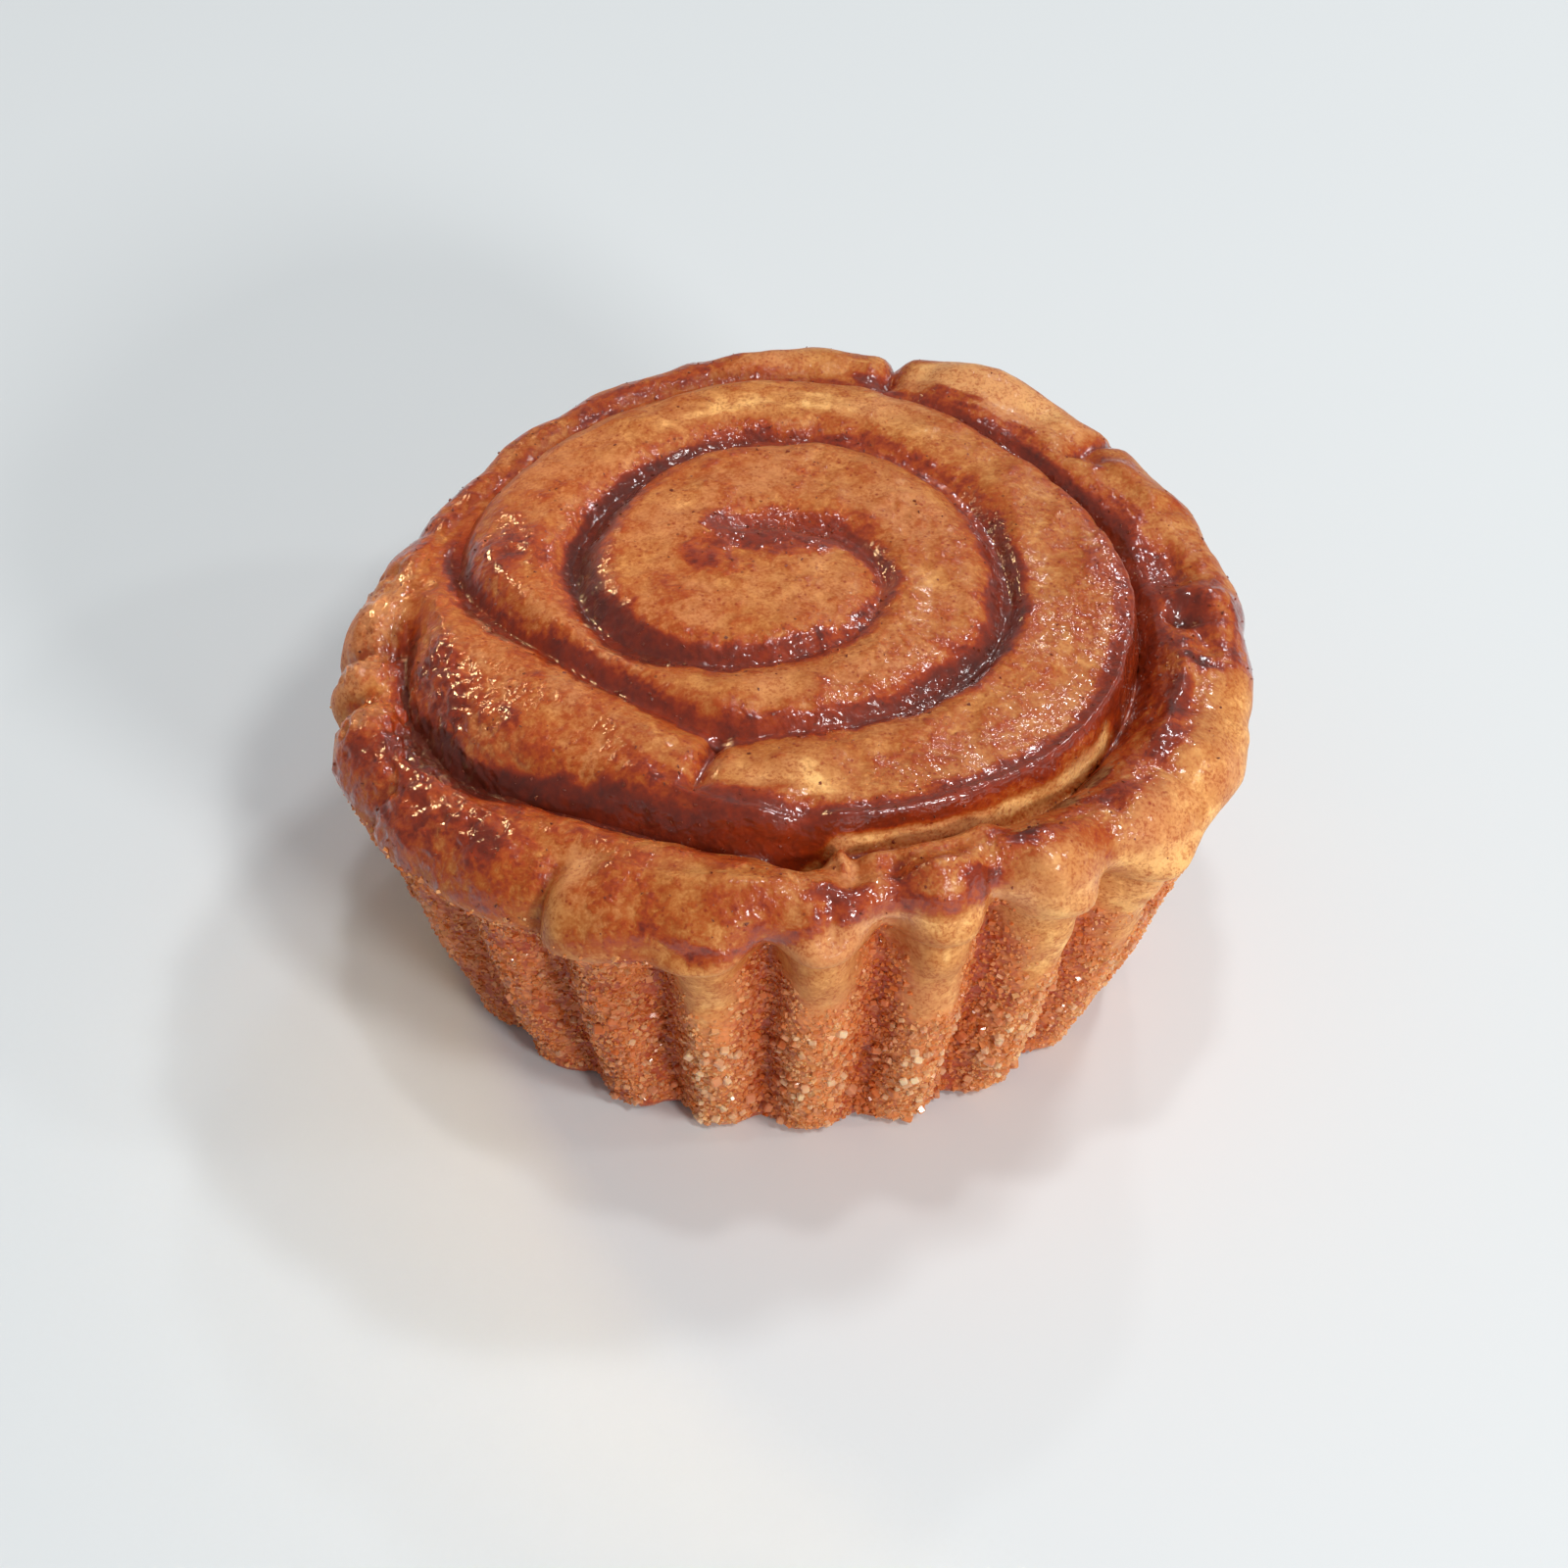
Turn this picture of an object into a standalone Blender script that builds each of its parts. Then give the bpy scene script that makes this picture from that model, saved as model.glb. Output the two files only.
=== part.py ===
"""A cinnamon bun baked in a fluted cup: coiled dough with a spiral ribbon of cinnamon filling.

The dough starts as a turned outline. Its points are then moved: the lip leans and swells, flutes
run up the side, and grooves, creases, folds and pits shape the top. The filling is a ribbon that
follows the spiral groove down through the dough. All sizes are in millimetres until the meshes
are written, in metres. Angles are in degrees, anticlockwise from +X seen from above.
"""
import bpy
import numpy as np
from mathutils import Vector
from mathutils.bvhtree import BVHTree

MM = 0.001

# Turned outline, from the middle of the top down to the base
TOP_HEIGHT = 50.0
DISC_RADIUS = 41.0
DISC_HEIGHT = 45.8
DOME_POWER = 2.4
RIM_RADIUS = 45.5
RIM_HEIGHT = 43.4
LIP_RADIUS = 52.4
LIP_HEIGHT = 37.5
NECK_RADIUS = 50.0
NECK_HEIGHT = 34.5
BASE_RADIUS = 41.5
BASE_CORNER = 2.6
SIDE_BELLY = 1.1
OUTLINE_STEP = 0.65

# The lip's real radius and height every 30 degrees, and the plan's slight oval
LIP_RADII = (51.7, 52.0, 53.2, 53.0, 52.2, 50.2, 51.4, 53.8, 52.6, 50.2, 49.8, 53.4)
LIP_HEIGHTS = (41.0, 41.5, 43.0, 42.6, 39.8, 36.0, 34.5, 34.2, 36.8, 40.8, 41.0, 38.8)
OVAL = 0.025
LEAN_POWER = 2.5

# Flutes pressed into the side by the baking cup
FLUTES = 23
FLUTE_VALLEY_ANGLE = 268.5
FLUTE_DEPTH = 3.8
FLUTE_SHARPNESS = 3
FLUTE_WANDER = 14.0
FLUTE_FOOT_SHARE = 0.55
FLUTE_FOOT_HEIGHT = 12.0
FLUTE_START_RADII = (32.5, 39.5)
FLUTE_FADE_HEIGHTS = (29.0, 37.0)
LIP_SCALLOP = 0.5

# The spiral groove: (turn clockwise from its inner end, radius, depth, width of its inner bank)
SEAM_START_ANGLE = 140.0
SEAM = (
    (0, 14.4, 1.0, 4.0), (22, 12.9, 1.6, 4.0), (50, 11.8, 1.8, 4.0), (80, 11.0, 1.8, 4.0),
    (122, 10.4, 1.7, 4.0), (150, 9.8, 1.4, 4.0), (190, 10.5, 1.5, 4.0), (220, 11.0, 1.8, 4.0),
    (248, 13.2, 2.2, 4.5), (275, 17.0, 2.6, 5.0), (297, 21.3, 3.0, 5.0), (322, 25.0, 3.2, 5.0),
    (352, 27.8, 3.2, 5.0), (381, 29.7, 3.0, 5.0), (410, 29.4, 2.4, 5.0), (444, 27.2, 1.8, 5.0),
    (480, 24.8, 2.2, 5.0), (514, 24.2, 2.6, 5.0), (552, 22.8, 2.4, 5.0), (590, 23.4, 2.0, 5.0),
    (607, 24.8, 2.4, 5.0), (624, 24.4, 2.6, 5.0), (648, 26.2, 3.0, 5.0), (664, 29.6, 3.2, 5.0),
    (678, 35.2, 3.2, 5.0), (691, 40.4, 3.0, 4.5), (712, 43.6, 2.0, 4.0), (740, 44.6, 1.4, 4.0),
    (770, 43.0, 1.8, 4.0), (795, 40.6, 2.4, 4.0), (815, 39.4, 3.0, 3.5), (855, 39.8, 5.5, 2.6),
    (900, 39.6, 6.5, 2.2), (935, 38.8, 5.2, 2.2), (962, 38.4, 4.8, 3.0), (980, 37.4, 4.6, 4.5),
    (994, 39.2, 4.6, 5.5), (1006, 42.2, 4.4, 6.0), (1018, 44.2, 3.8, 6.0), (1036, 43.6, 2.4, 5.0),
)
OUTER_BANK = 6.0
SEAM_LAPS = 3
SEAM_RUN_IN = 20.0
SEAM_RUN_OUT = 12.0

# Creases across the coils: (angle, from radius, to radius, depth, half width)
CREASES = (
    (252.0, 23.5, 35.0, 1.8, 1.3),
    (76.5, 42.0, 60.0, 2.2, 1.4),
    (42.0, 42.0, 60.0, 1.3, 1.4),
    (3.0, 42.0, 51.0, 1.6, 2.0),
    (320.0, 44.0, 50.0, 0.9, 0.9),
    (285.5, 40.0, 50.0, 1.6, 2.0),
    (192.5, 47.0, 60.0, 1.8, 1.6),
    (183.5, 44.0, 60.0, 2.2, 1.8),
    (210.0, 48.0, 60.0, 1.2, 2.0),
)
CREASE_RUN_IN = 3.0

# Knobs (outward) and pits (inward, negative): (angle, radius, rise, spread)
KNOBS = (
    (177.0, 49.5, 1.2, 3.0), (188.0, 50.5, 1.4, 2.6), (199.0, 51.0, 1.2, 3.5),
    (272.0, 38.5, -1.6, 2.6), (11.0, 45.5, -1.8, 3.0), (356.0, 48.0, -1.2, 1.6),
    (60.0, 48.0, 0.8, 6.0), (300.0, 44.0, 0.9, 5.0), (335.0, 46.0, 0.8, 6.0),
)

# The outer layer's end, a fold standing out of the front lip
FOLD_START = (235.0, 241.0)
FOLD_END = (262.0, 288.0)
FOLD_RISE = 1.8
FOLD_RADIUS = 43.5

# Where the turned outline's top begins, and how far below the lip's widest line its core lies
TOP_FROM_HEIGHTS = (35.5, 38.0)
CORE_DROP = 1.0

# The filling
RIBBON_THICKNESS = 2.0
RIBBON_BOTTOM = 7.0
RIBBON_BOTTOM_SHARE = 0.74
RIBBON_STEP = 8.0
GAP = 0.3
SLOT_OVERRUN = 0.6
CUTTER_HEADROOM = 12.0

STEPS_PER_FLUTE = 12
TURN_MERGE = 0.001
DOUGH_TRIANGLES = 7600
BASE_FLAT = 0.05

DOUGH_COLOUR = (0.50, 0.22, 0.08)
DOUGH_ROUGHNESS = 0.45
CINNAMON_COLOUR = (0.10, 0.025, 0.015)
CINNAMON_ROUGHNESS = 0.25


def smooth(value, start, end):
    share = np.clip((value - start) / (end - start), 0.0, 1.0)
    return share * share * (3.0 - 2.0 * share)


def curve_through(x, knots, values):
    """A smooth curve through the control points, flat beyond its ends."""
    knots = np.asarray(knots, float)
    values = np.asarray(values, float)
    slopes = np.gradient(values, knots)
    x = np.clip(x, knots[0], knots[-1])
    left = np.clip(np.searchsorted(knots, x) - 1, 0, len(knots) - 2)
    span = knots[left + 1] - knots[left]
    t = (x - knots[left]) / span
    rise = values[left + 1] - values[left]
    ease = t * t * (3.0 - 2.0 * t)
    return (values[left] + rise * ease
            + span * slopes[left] * t * (1.0 - t) ** 2
            - span * slopes[left + 1] * t * t * (1.0 - t))


def around(values, angle):
    """A smooth curve round the axis through values given at even angles from +X."""
    step = 360.0 / len(values)
    knots = np.arange(-2, len(values) + 3) * step
    looped = np.take(values, np.arange(-2, len(values) + 3), mode="wrap")
    return curve_through(np.mod(angle, 360.0), knots, looped)


def away_from(angle, other):
    """The signed difference between two angles, from -180 to 180."""
    return np.mod(angle - other + 180.0, 360.0) - 180.0


def arc(centre, radii, start, end):
    count = max(3, int(abs(np.radians(end - start)) * max(radii) / OUTLINE_STEP) + 1)
    t = np.radians(np.linspace(start, end, count))
    return [(centre[0] + radii[0] * np.cos(a), centre[1] + radii[1] * np.sin(a)) for a in t]


def line(start, end):
    length = np.hypot(end[0] - start[0], end[1] - start[1])
    t = np.linspace(0.0, 1.0, max(2, int(length / OUTLINE_STEP) + 1))
    return [(start[0] + (end[0] - start[0]) * s, start[1] + (end[1] - start[1]) * s) for s in t]


def outline():
    """Radius and height of the bun's outline, from the middle of the top to that of the base."""
    dome_radii = np.linspace(0.0, DISC_RADIUS, int(DISC_RADIUS / OUTLINE_STEP))
    fall = TOP_HEIGHT - DISC_HEIGHT
    points = [(r, TOP_HEIGHT - fall * (r / DISC_RADIUS) ** DOME_POWER) for r in dome_radii]
    points += line((DISC_RADIUS, DISC_HEIGHT), (RIM_RADIUS, RIM_HEIGHT))[1:]
    crest = (RIM_RADIUS, LIP_HEIGHT)
    points += arc(crest, (LIP_RADIUS - RIM_RADIUS, RIM_HEIGHT - LIP_HEIGHT), 90, 0)[1:]
    under = (NECK_RADIUS, LIP_HEIGHT)
    points += arc(under, (LIP_RADIUS - NECK_RADIUS, LIP_HEIGHT - NECK_HEIGHT), 0, -90)[1:]
    corner = (BASE_RADIUS - BASE_CORNER, BASE_CORNER)
    side = line((NECK_RADIUS, NECK_HEIGHT), (BASE_RADIUS, BASE_CORNER))[1:]
    drop = NECK_HEIGHT - BASE_CORNER
    points += [(r + SIDE_BELLY * np.sin(np.pi * (z - BASE_CORNER) / drop), z) for r, z in side]
    points += arc(corner, (BASE_CORNER, BASE_CORNER), 0, -90)[1:]
    points += line((corner[0], 0.0), (0.0, 0.0))[1:]
    return points


def lean_and_swell(r, z, angle):
    """Give the lip its own height and radius in each direction."""
    high = np.clip(z / LIP_HEIGHT, 0.0, 1.0)
    reach = (np.minimum(r, LIP_RADIUS) / LIP_RADIUS) ** LEAN_POWER
    swell = around(LIP_RADII, angle) / LIP_RADIUS - 1.0
    lean = around(LIP_HEIGHTS, angle) - LIP_HEIGHT
    oval = 1.0 + OVAL * np.cos(np.radians(2.0 * angle))
    return r * (1.0 + swell * high ** 2 * reach) * oval, z + lean * high * reach


def flute_valley(angle):
    """1 along a flute's valley, 0 on the ridges."""
    wander = FLUTE_WANDER * np.sin(np.radians(3.0 * angle))
    phase = np.radians((angle - FLUTE_VALLEY_ANGLE) * FLUTES + wander)
    return np.abs(np.cos(phase / 2.0)) ** FLUTE_SHARPNESS


def flute_depth(r, z, angle):
    """How far the baking cup's flutes push the side in."""
    foot = FLUTE_FOOT_SHARE + (1.0 - FLUTE_FOOT_SHARE) * smooth(z, 0.0, FLUTE_FOOT_HEIGHT)
    side = smooth(r, *FLUTE_START_RADII) * (1.0 - smooth(z, *FLUTE_FADE_HEIGHTS))
    lip = smooth(r, RIM_RADIUS, LIP_RADIUS) * smooth(z, *FLUTE_FADE_HEIGHTS)
    return flute_valley(angle) * (FLUTE_DEPTH * foot * side + LIP_SCALLOP * lip)


def seam_values(turn):
    """Radius, depth and inner bank of the spiral groove at a turn."""
    table = np.array(SEAM, float)
    return [curve_through(turn, table[:, 0], table[:, column]) for column in (1, 2, 3)]


def groove_depth(r, angle):
    """Depth of the spiral groove below the bun's outline at a place on the top."""
    depth = np.zeros_like(r)
    first = np.mod(SEAM_START_ANGLE - angle, 360.0)
    for lap in range(SEAM_LAPS):
        turn = first + 360.0 * lap
        radius, deep, inner_bank = seam_values(turn)
        slope = (seam_values(turn + 1.0)[0] - seam_values(turn - 1.0)[0]) / 2.0
        slant = np.hypot(1.0, slope / np.radians(radius))
        offset = (r - radius) / slant
        bank = np.where(offset < 0.0, inner_bank, OUTER_BANK)
        shape = np.clip(1.0 - np.abs(offset) / bank, 0.0, 1.0) ** 2
        last = SEAM[-1][0]
        ends = smooth(turn, 0.0, SEAM_RUN_IN) * (1.0 - smooth(turn, last, last + SEAM_RUN_OUT))
        depth = np.maximum(depth, deep * shape * ends)
    return depth


def crease_depth(r, angle):
    """Depth of the short creases across the coils and the rim."""
    depth = np.zeros_like(r)
    for crease_angle, start, end, deep, half_width in CREASES:
        across = r * np.radians(away_from(angle, crease_angle))
        along = smooth(r, start, start + CREASE_RUN_IN) * (1.0 - smooth(r, end - CREASE_RUN_IN, end))
        shape = np.clip(1.0 - np.abs(across) / (2.0 * half_width), 0.0, 1.0) ** 2
        depth += deep * along * shape
    return depth


def knob_rise(r, angle):
    """Rise of the rim's knobs, less the depth of its pits."""
    x = r * np.cos(np.radians(angle))
    y = r * np.sin(np.radians(angle))
    rise = np.zeros_like(r)
    for knob_angle, radius, height, spread in KNOBS:
        knob_x = radius * np.cos(np.radians(knob_angle))
        knob_y = radius * np.sin(np.radians(knob_angle))
        squared = ((x - knob_x) ** 2 + (y - knob_y) ** 2) / spread ** 2
        rise += height * np.exp(-squared)
    return rise


def fold_rise(r, angle):
    """The outer layer's end stands out of the front of the lip."""
    along = smooth(angle, *FOLD_START) * (1.0 - smooth(angle, *FOLD_END))
    return FOLD_RISE * along * smooth(r, FOLD_RADIUS, LIP_RADIUS)


def shape_dough(r, z, angle):
    """Move the turned outline's points to the bun's real surface."""
    on_top = smooth(z, *TOP_FROM_HEIGHTS)
    core_z = around(LIP_HEIGHTS, angle) - CORE_DROP
    flutes = flute_depth(r, z, angle)
    fold = fold_rise(r, angle) * smooth(z, *FLUTE_FADE_HEIGHTS)
    r, z = lean_and_swell(r, z, angle)
    r = r - flutes + fold
    rise = on_top * (knob_rise(r, angle) - crease_depth(r, angle))
    inward_r = np.maximum(r - RIM_RADIUS, 0.0)
    inward_z = np.maximum(z - core_z, 0.5)
    reach = np.hypot(inward_r, inward_z)
    drop = on_top * groove_depth(r, angle)
    return r + rise * inward_r / reach, z + rise * inward_z / reach - drop


def new_collection(name):
    collection = bpy.data.collections.new(name)
    bpy.context.scene.collection.children.link(collection)
    return collection


def new_object(name, points, edges, faces, collection):
    mesh = bpy.data.meshes.new(name)
    mesh.from_pydata([tuple(MM * c for c in point) for point in points], edges, faces)
    item = bpy.data.objects.new(name, mesh)
    collection.objects.link(item)
    return item


def apply_modifiers(item):
    """Replace an object's mesh with what its modifiers make of it."""
    graph = bpy.context.evaluated_depsgraph_get()
    mesh = bpy.data.meshes.new_from_object(item.evaluated_get(graph))
    item.modifiers.clear()
    item.data = mesh


def coordinates(mesh):
    values = np.empty(len(mesh.vertices) * 3)
    mesh.vertices.foreach_get("co", values)
    return values.reshape(-1, 3) / MM


def write_coordinates(mesh, points):
    mesh.vertices.foreach_set("co", (points * MM).ravel())
    mesh.update()


def make_material(name, colour, roughness):
    material = bpy.data.materials.new(name)
    material.use_nodes = True
    shader = material.node_tree.nodes["Principled BSDF"]
    shader.inputs["Base Color"].default_value = (*colour, 1.0)
    shader.inputs["Roughness"].default_value = roughness
    shader.inputs["Metallic"].default_value = 0.0
    material.diffuse_color = (*colour, 1.0)
    return material


def make_dough(collection):
    """The whole bun as one body, before the filling's slot is cut."""
    points = [(r, 0.0, z) for r, z in outline()]
    edges = [(i, i + 1) for i in range(len(points) - 1)]
    dough = new_object("dough", points, edges, [], collection)
    screw = dough.modifiers.new("turn", "SCREW")
    screw.steps = FLUTES * STEPS_PER_FLUTE
    screw.render_steps = screw.steps
    screw.use_merge_vertices = True
    screw.merge_threshold = TURN_MERGE * MM
    apply_modifiers(dough)

    turned = coordinates(dough.data)
    angle = np.mod(np.degrees(np.arctan2(turned[:, 1], turned[:, 0])), 360.0)
    r, z = shape_dough(np.hypot(turned[:, 0], turned[:, 1]), turned[:, 2], angle)
    turn = np.radians(angle)
    write_coordinates(dough.data, np.column_stack((r * np.cos(turn), r * np.sin(turn), z)))

    decimate = dough.modifiers.new("facets", "DECIMATE")
    decimate.ratio = DOUGH_TRIANGLES / (2 * len(dough.data.polygons))
    apply_modifiers(dough)
    settled = coordinates(dough.data)
    settled[settled[:, 2] < BASE_FLAT, 2] = 0.0
    write_coordinates(dough.data, settled)
    dough.data.shade_smooth()
    return dough


def filling_rows(surface, bottom, headroom):
    """Points along the filling's bottom, its top in the groove and, for a cutter, above that."""
    last = SEAM[-1][0]
    turns = np.linspace(0.0, last, int(last / RIBBON_STEP) + 1)
    rows = ([], [], []) if headroom else ([], [])
    for radius, turn in zip(seam_values(turns)[0], np.radians(SEAM_START_ANGLE - turns)):
        x, y = (radius * np.cos(turn), radius * np.sin(turn))
        hit = surface.ray_cast(Vector((x, y, 2.0 * TOP_HEIGHT)) * MM, Vector((0, 0, -1)))[0]
        floor = hit.z / MM
        draw_in = (1.0 - RIBBON_BOTTOM_SHARE) * (floor - bottom) / (floor - RIBBON_BOTTOM)
        rows[0].append((x * (1.0 - draw_in), y * (1.0 - draw_in), bottom))
        rows[1].append((x, y, floor))
        if headroom:
            rows[2].append((x, y, floor + headroom))
    return np.array(rows)


def lengthen(row, overrun):
    """Carry a row of points straight on past both of its ends."""
    before = row[0] - row[1]
    after = row[-1] - row[-2]
    first = row[0] + before * overrun / np.linalg.norm(before)
    last = row[-1] + after * overrun / np.linalg.norm(after)
    return np.vstack((first, row, last))


def make_ribbon(name, rows, thickness, collection):
    count = len(rows[0])
    faces = [(low + i, low + i + 1, low + count + i + 1, low + count + i)
             for low in range(0, count * (len(rows) - 1), count) for i in range(count - 1)]
    ribbon = new_object(name, np.vstack(rows), [], faces, collection)
    solidify = ribbon.modifiers.new("thickness", "SOLIDIFY")
    solidify.thickness = thickness * MM
    solidify.offset = 0.0
    solidify.use_even_offset = True
    return ribbon


def make_filling(surface, collection):
    rows = filling_rows(surface, RIBBON_BOTTOM, 0.0)
    return make_ribbon("cinnamon_filling", rows, RIBBON_THICKNESS, collection)


def make_slot(surface, collection):
    """The cutter for the filling's place in the dough, wider and longer by the gap."""
    rows = filling_rows(surface, RIBBON_BOTTOM - GAP, CUTTER_HEADROOM)
    rows = [lengthen(row, SLOT_OVERRUN) for row in rows]
    slot = make_ribbon("filling_slot", rows, RIBBON_THICKNESS + 2.0 * GAP, collection)
    slot.hide_render = True
    slot.display_type = "WIRE"
    return slot


def build():
    for item in list(bpy.data.objects):
        bpy.data.objects.remove(item)
    parts = new_collection("cinnamon_bun")
    cutters = new_collection("cutters")

    dough = make_dough(parts)
    graph = bpy.context.evaluated_depsgraph_get()
    surface = BVHTree.FromObject(dough, graph)
    filling = make_filling(surface, parts)
    slot = make_slot(surface, cutters)
    cut = dough.modifiers.new("slot", "BOOLEAN")
    cut.operation = "DIFFERENCE"
    cut.object = slot

    dough.data.materials.append(make_material("baked_dough", DOUGH_COLOUR, DOUGH_ROUGHNESS))
    filling.data.materials.append(make_material("cinnamon", CINNAMON_COLOUR, CINNAMON_ROUGHNESS))


build()
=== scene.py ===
"""The looks of a glazed cinnamon bun: fine dough surface, spiral filling, sugar crust and specks.

Lengths are in millimetres unless a name or comment says otherwise, and meshes are written in
metres. Angles are in degrees, anticlockwise from +X seen from above. The bun stands on z = 0.
A sector is (from angle, to angle, softness of its ends). A band is the four values where
something starts, is full, starts to fade and ends.
"""

import bmesh
import bpy
import numpy as np
from mathutils import Matrix, Quaternion, Vector, noise


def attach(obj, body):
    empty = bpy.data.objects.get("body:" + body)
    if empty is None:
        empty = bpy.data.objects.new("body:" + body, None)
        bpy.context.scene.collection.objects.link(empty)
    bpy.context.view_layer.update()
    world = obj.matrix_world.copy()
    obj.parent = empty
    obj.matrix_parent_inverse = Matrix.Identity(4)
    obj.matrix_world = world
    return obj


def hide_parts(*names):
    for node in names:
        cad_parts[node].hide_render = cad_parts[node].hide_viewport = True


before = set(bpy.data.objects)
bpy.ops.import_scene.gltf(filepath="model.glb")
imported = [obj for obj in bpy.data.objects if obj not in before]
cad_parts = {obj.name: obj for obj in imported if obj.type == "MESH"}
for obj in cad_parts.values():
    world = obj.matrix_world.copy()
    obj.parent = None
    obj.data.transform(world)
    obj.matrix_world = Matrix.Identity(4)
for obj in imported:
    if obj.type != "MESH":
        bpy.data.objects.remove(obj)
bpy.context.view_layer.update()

MM = 0.001

# The turned outline, the same as the solid's
TOP_HEIGHT = 50
DISC_RADIUS = 41
DISC_HEIGHT = 45.8
DOME_POWER = 2.4
RIM_RADIUS = 45.5
RIM_HEIGHT = 43.4
LIP_RADIUS = 52.4
LIP_HEIGHT = 37.5
NECK_RADIUS = 50
NECK_HEIGHT = 34.5
BASE_RADIUS = 41.5
BASE_CORNER = 2.6
SIDE_BELLY = 1.1
OUTLINE_STEP = 0.5
SIDE_STEP = 0.6
EDGE_STEP = 0.13
EDGE_FROM_RADIUS = 36.4
RIM_STEP = 0.3
BASE_STEP = 6
TURN_MERGE = 0.001

LIP_RADII = (51.7, 52, 53.2, 53, 52.2, 50.2, 51.4, 53.8, 52.6, 50.2, 49.8, 53.4)
LIP_HEIGHTS = (41, 41.5, 43, 42.6, 39.8, 36, 34.5, 34.2, 36.8, 40.8, 41, 38.8)
OVAL = 0.025
LEAN_POWER = 2.5

# Flutes
FLUTES = 23
STEPS_PER_FLUTE = 19
FLUTE_VALLEY = 268.5
FLUTE_DEPTH = 3.8
FLUTE_SHARPNESS = 3
FLUTE_WANDER = 14
WANDER_WAVES = 3
FOOT_SHARE = 0.55
FOOT_HEIGHT = 12
FLUTE_FADE = (29, 37)
LIP_SCALLOP = 0.5
FRONT_SCALLOP = 1.2
FLUTE_LIFT = 2.5
PILLAR_RISE = 1.5

# The spiral groove: (turn clockwise from its inner end, radius, depth, width of its inner bank)
SEAM_START = 140
SEAM = (
    (0, 14.4, 1, 4), (22, 12.9, 1.6, 4), (50, 11.8, 1.8, 4), (80, 11, 1.8, 4), (122, 10.4, 1.7, 4),
    (150, 9.8, 1.4, 4), (190, 10.5, 1.5, 4), (220, 11, 1.8, 4), (248, 13.2, 2.2, 4.5),
    (275, 17, 2.6, 5), (297, 21.3, 3, 5), (322, 25, 3.2, 5), (352, 27.8, 3.2, 5), (381, 29.7, 3, 5),
    (410, 29.4, 2.4, 5), (444, 27.2, 1.8, 5), (480, 24.8, 2.2, 5), (514, 24.2, 2.6, 5),
    (552, 22.8, 2.4, 5), (590, 23.4, 2, 5), (607, 24.8, 2.4, 5), (624, 24.4, 2.6, 5), (648, 26.2, 3, 5),
    (664, 29.6, 3.2, 5), (678, 35.2, 3.2, 5), (691, 40.4, 3, 4.5), (712, 43.6, 2, 4),
    (740, 44.6, 1.4, 4), (770, 43, 1.8, 4), (795, 40.6, 2.4, 4), (815, 39.4, 3, 3.5),
    (855, 39.8, 5.5, 2.6), (900, 39.6, 6.5, 2.2), (935, 38.8, 5.2, 2.2), (962, 38.5, 4.8, 3),
    (980, 38.4, 4.6, 4.5), (994, 40.6, 4.6, 5.5), (1006, 43.6, 4.4, 6), (1018, 45.2, 3.8, 6),
    (1036, 44.8, 2.4, 5),
)
SEAM_END = SEAM[-1][0]
SEAM_LAPS = 3
SEAM_RUN_IN = 20
SEAM_RUN_OUT = 12

# The groove's outer bank, steeper or wider at the right
OUTER_BANK = 6
STEEPER_BY = 3
WIDER_BY = 2.2

# How far the disc's edge hangs over the outer groove: (turn, overhang)
OVERHANG = (
    (0, 0), (805, 0), (832, 0.9), (855, 1.1), (900, 0.7), (940, 0.8), (970, 0.3), (995, 0),
)
OVERHANG_EDGE = 0.9
OVERHANG_RUN = 6

# Where the surface's rings follow the outer groove: (radius, share)
FOLLOW = ((0, 0), (28, 0), (38, 1), (41, 1), (48, 0), (60, 0))
FOLLOW_MOST = 2.4
FOLLOW_RADIUS = 39.6
FOLLOW_UNTIL = 48

# Syrup along the groove: (turn, strength from 0 to 1, half width inward, half width outward)
STAIN = (
    (0, 0.74, 8, 2.2), (25, 0.78, 9.5, 3), (50, 0.76, 8.5, 3.4), (75, 0.8, 6, 3), (90, 0.84, 3, 2),
    (110, 0.86, 2.4, 2), (150, 0.68, 1.6, 2.4), (190, 0.6, 2, 1.6), (230, 0.78, 3.2, 1.6),
    (270, 0.86, 3.4, 1.8), (300, 0.92, 3.6, 1.8), (330, 1, 3.8, 2.2), (370, 0.9, 3.2, 2.8),
    (410, 0.72, 2, 2.8), (450, 0.62, 1.6, 3.8), (480, 0.84, 3, 3), (530, 0.96, 3.4, 2.4),
    (565, 0.84, 2.8, 1.6), (600, 0.76, 3.2, 1.2), (635, 0.84, 2.4, 1.4), (670, 0.84, 2, 1.6),
    (692, 0.94, 2.2, 2.4), (706, 0.62, 2.2, 2.4), (745, 0.46, 1.6, 1.8), (775, 0.56, 1.6, 1.5),
    (800, 0.84, 2.2, 1.7), (825, 0.9, 2, 3), (848, 0.82, 1.4, 5), (880, 0.72, 1.8, 3.4),
    (905, 0.66, 2.4, 1.6), (925, 0.7, 3, 1), (950, 0.82, 3.6, 1), (968, 0.88, 4.2, 1.4),
    (985, 0.9, 3.4, 2.2), (1002, 1, 2.2, 3.8), (1020, 1, 2, 4.2), (1036, 0.94, 1.8, 4),
)
STAIN_RUN_OUT = 10
STAIN_RAGGED = (0.8, 0.5)
# The stain's core and its thin halo end between these shares of its half width
CORE_END = (0.45, 1.25)
HALO_END = (0.9, 1.7)
HALO_EXTRA = 0.9
HALO_STRENGTH = 0.52

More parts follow.
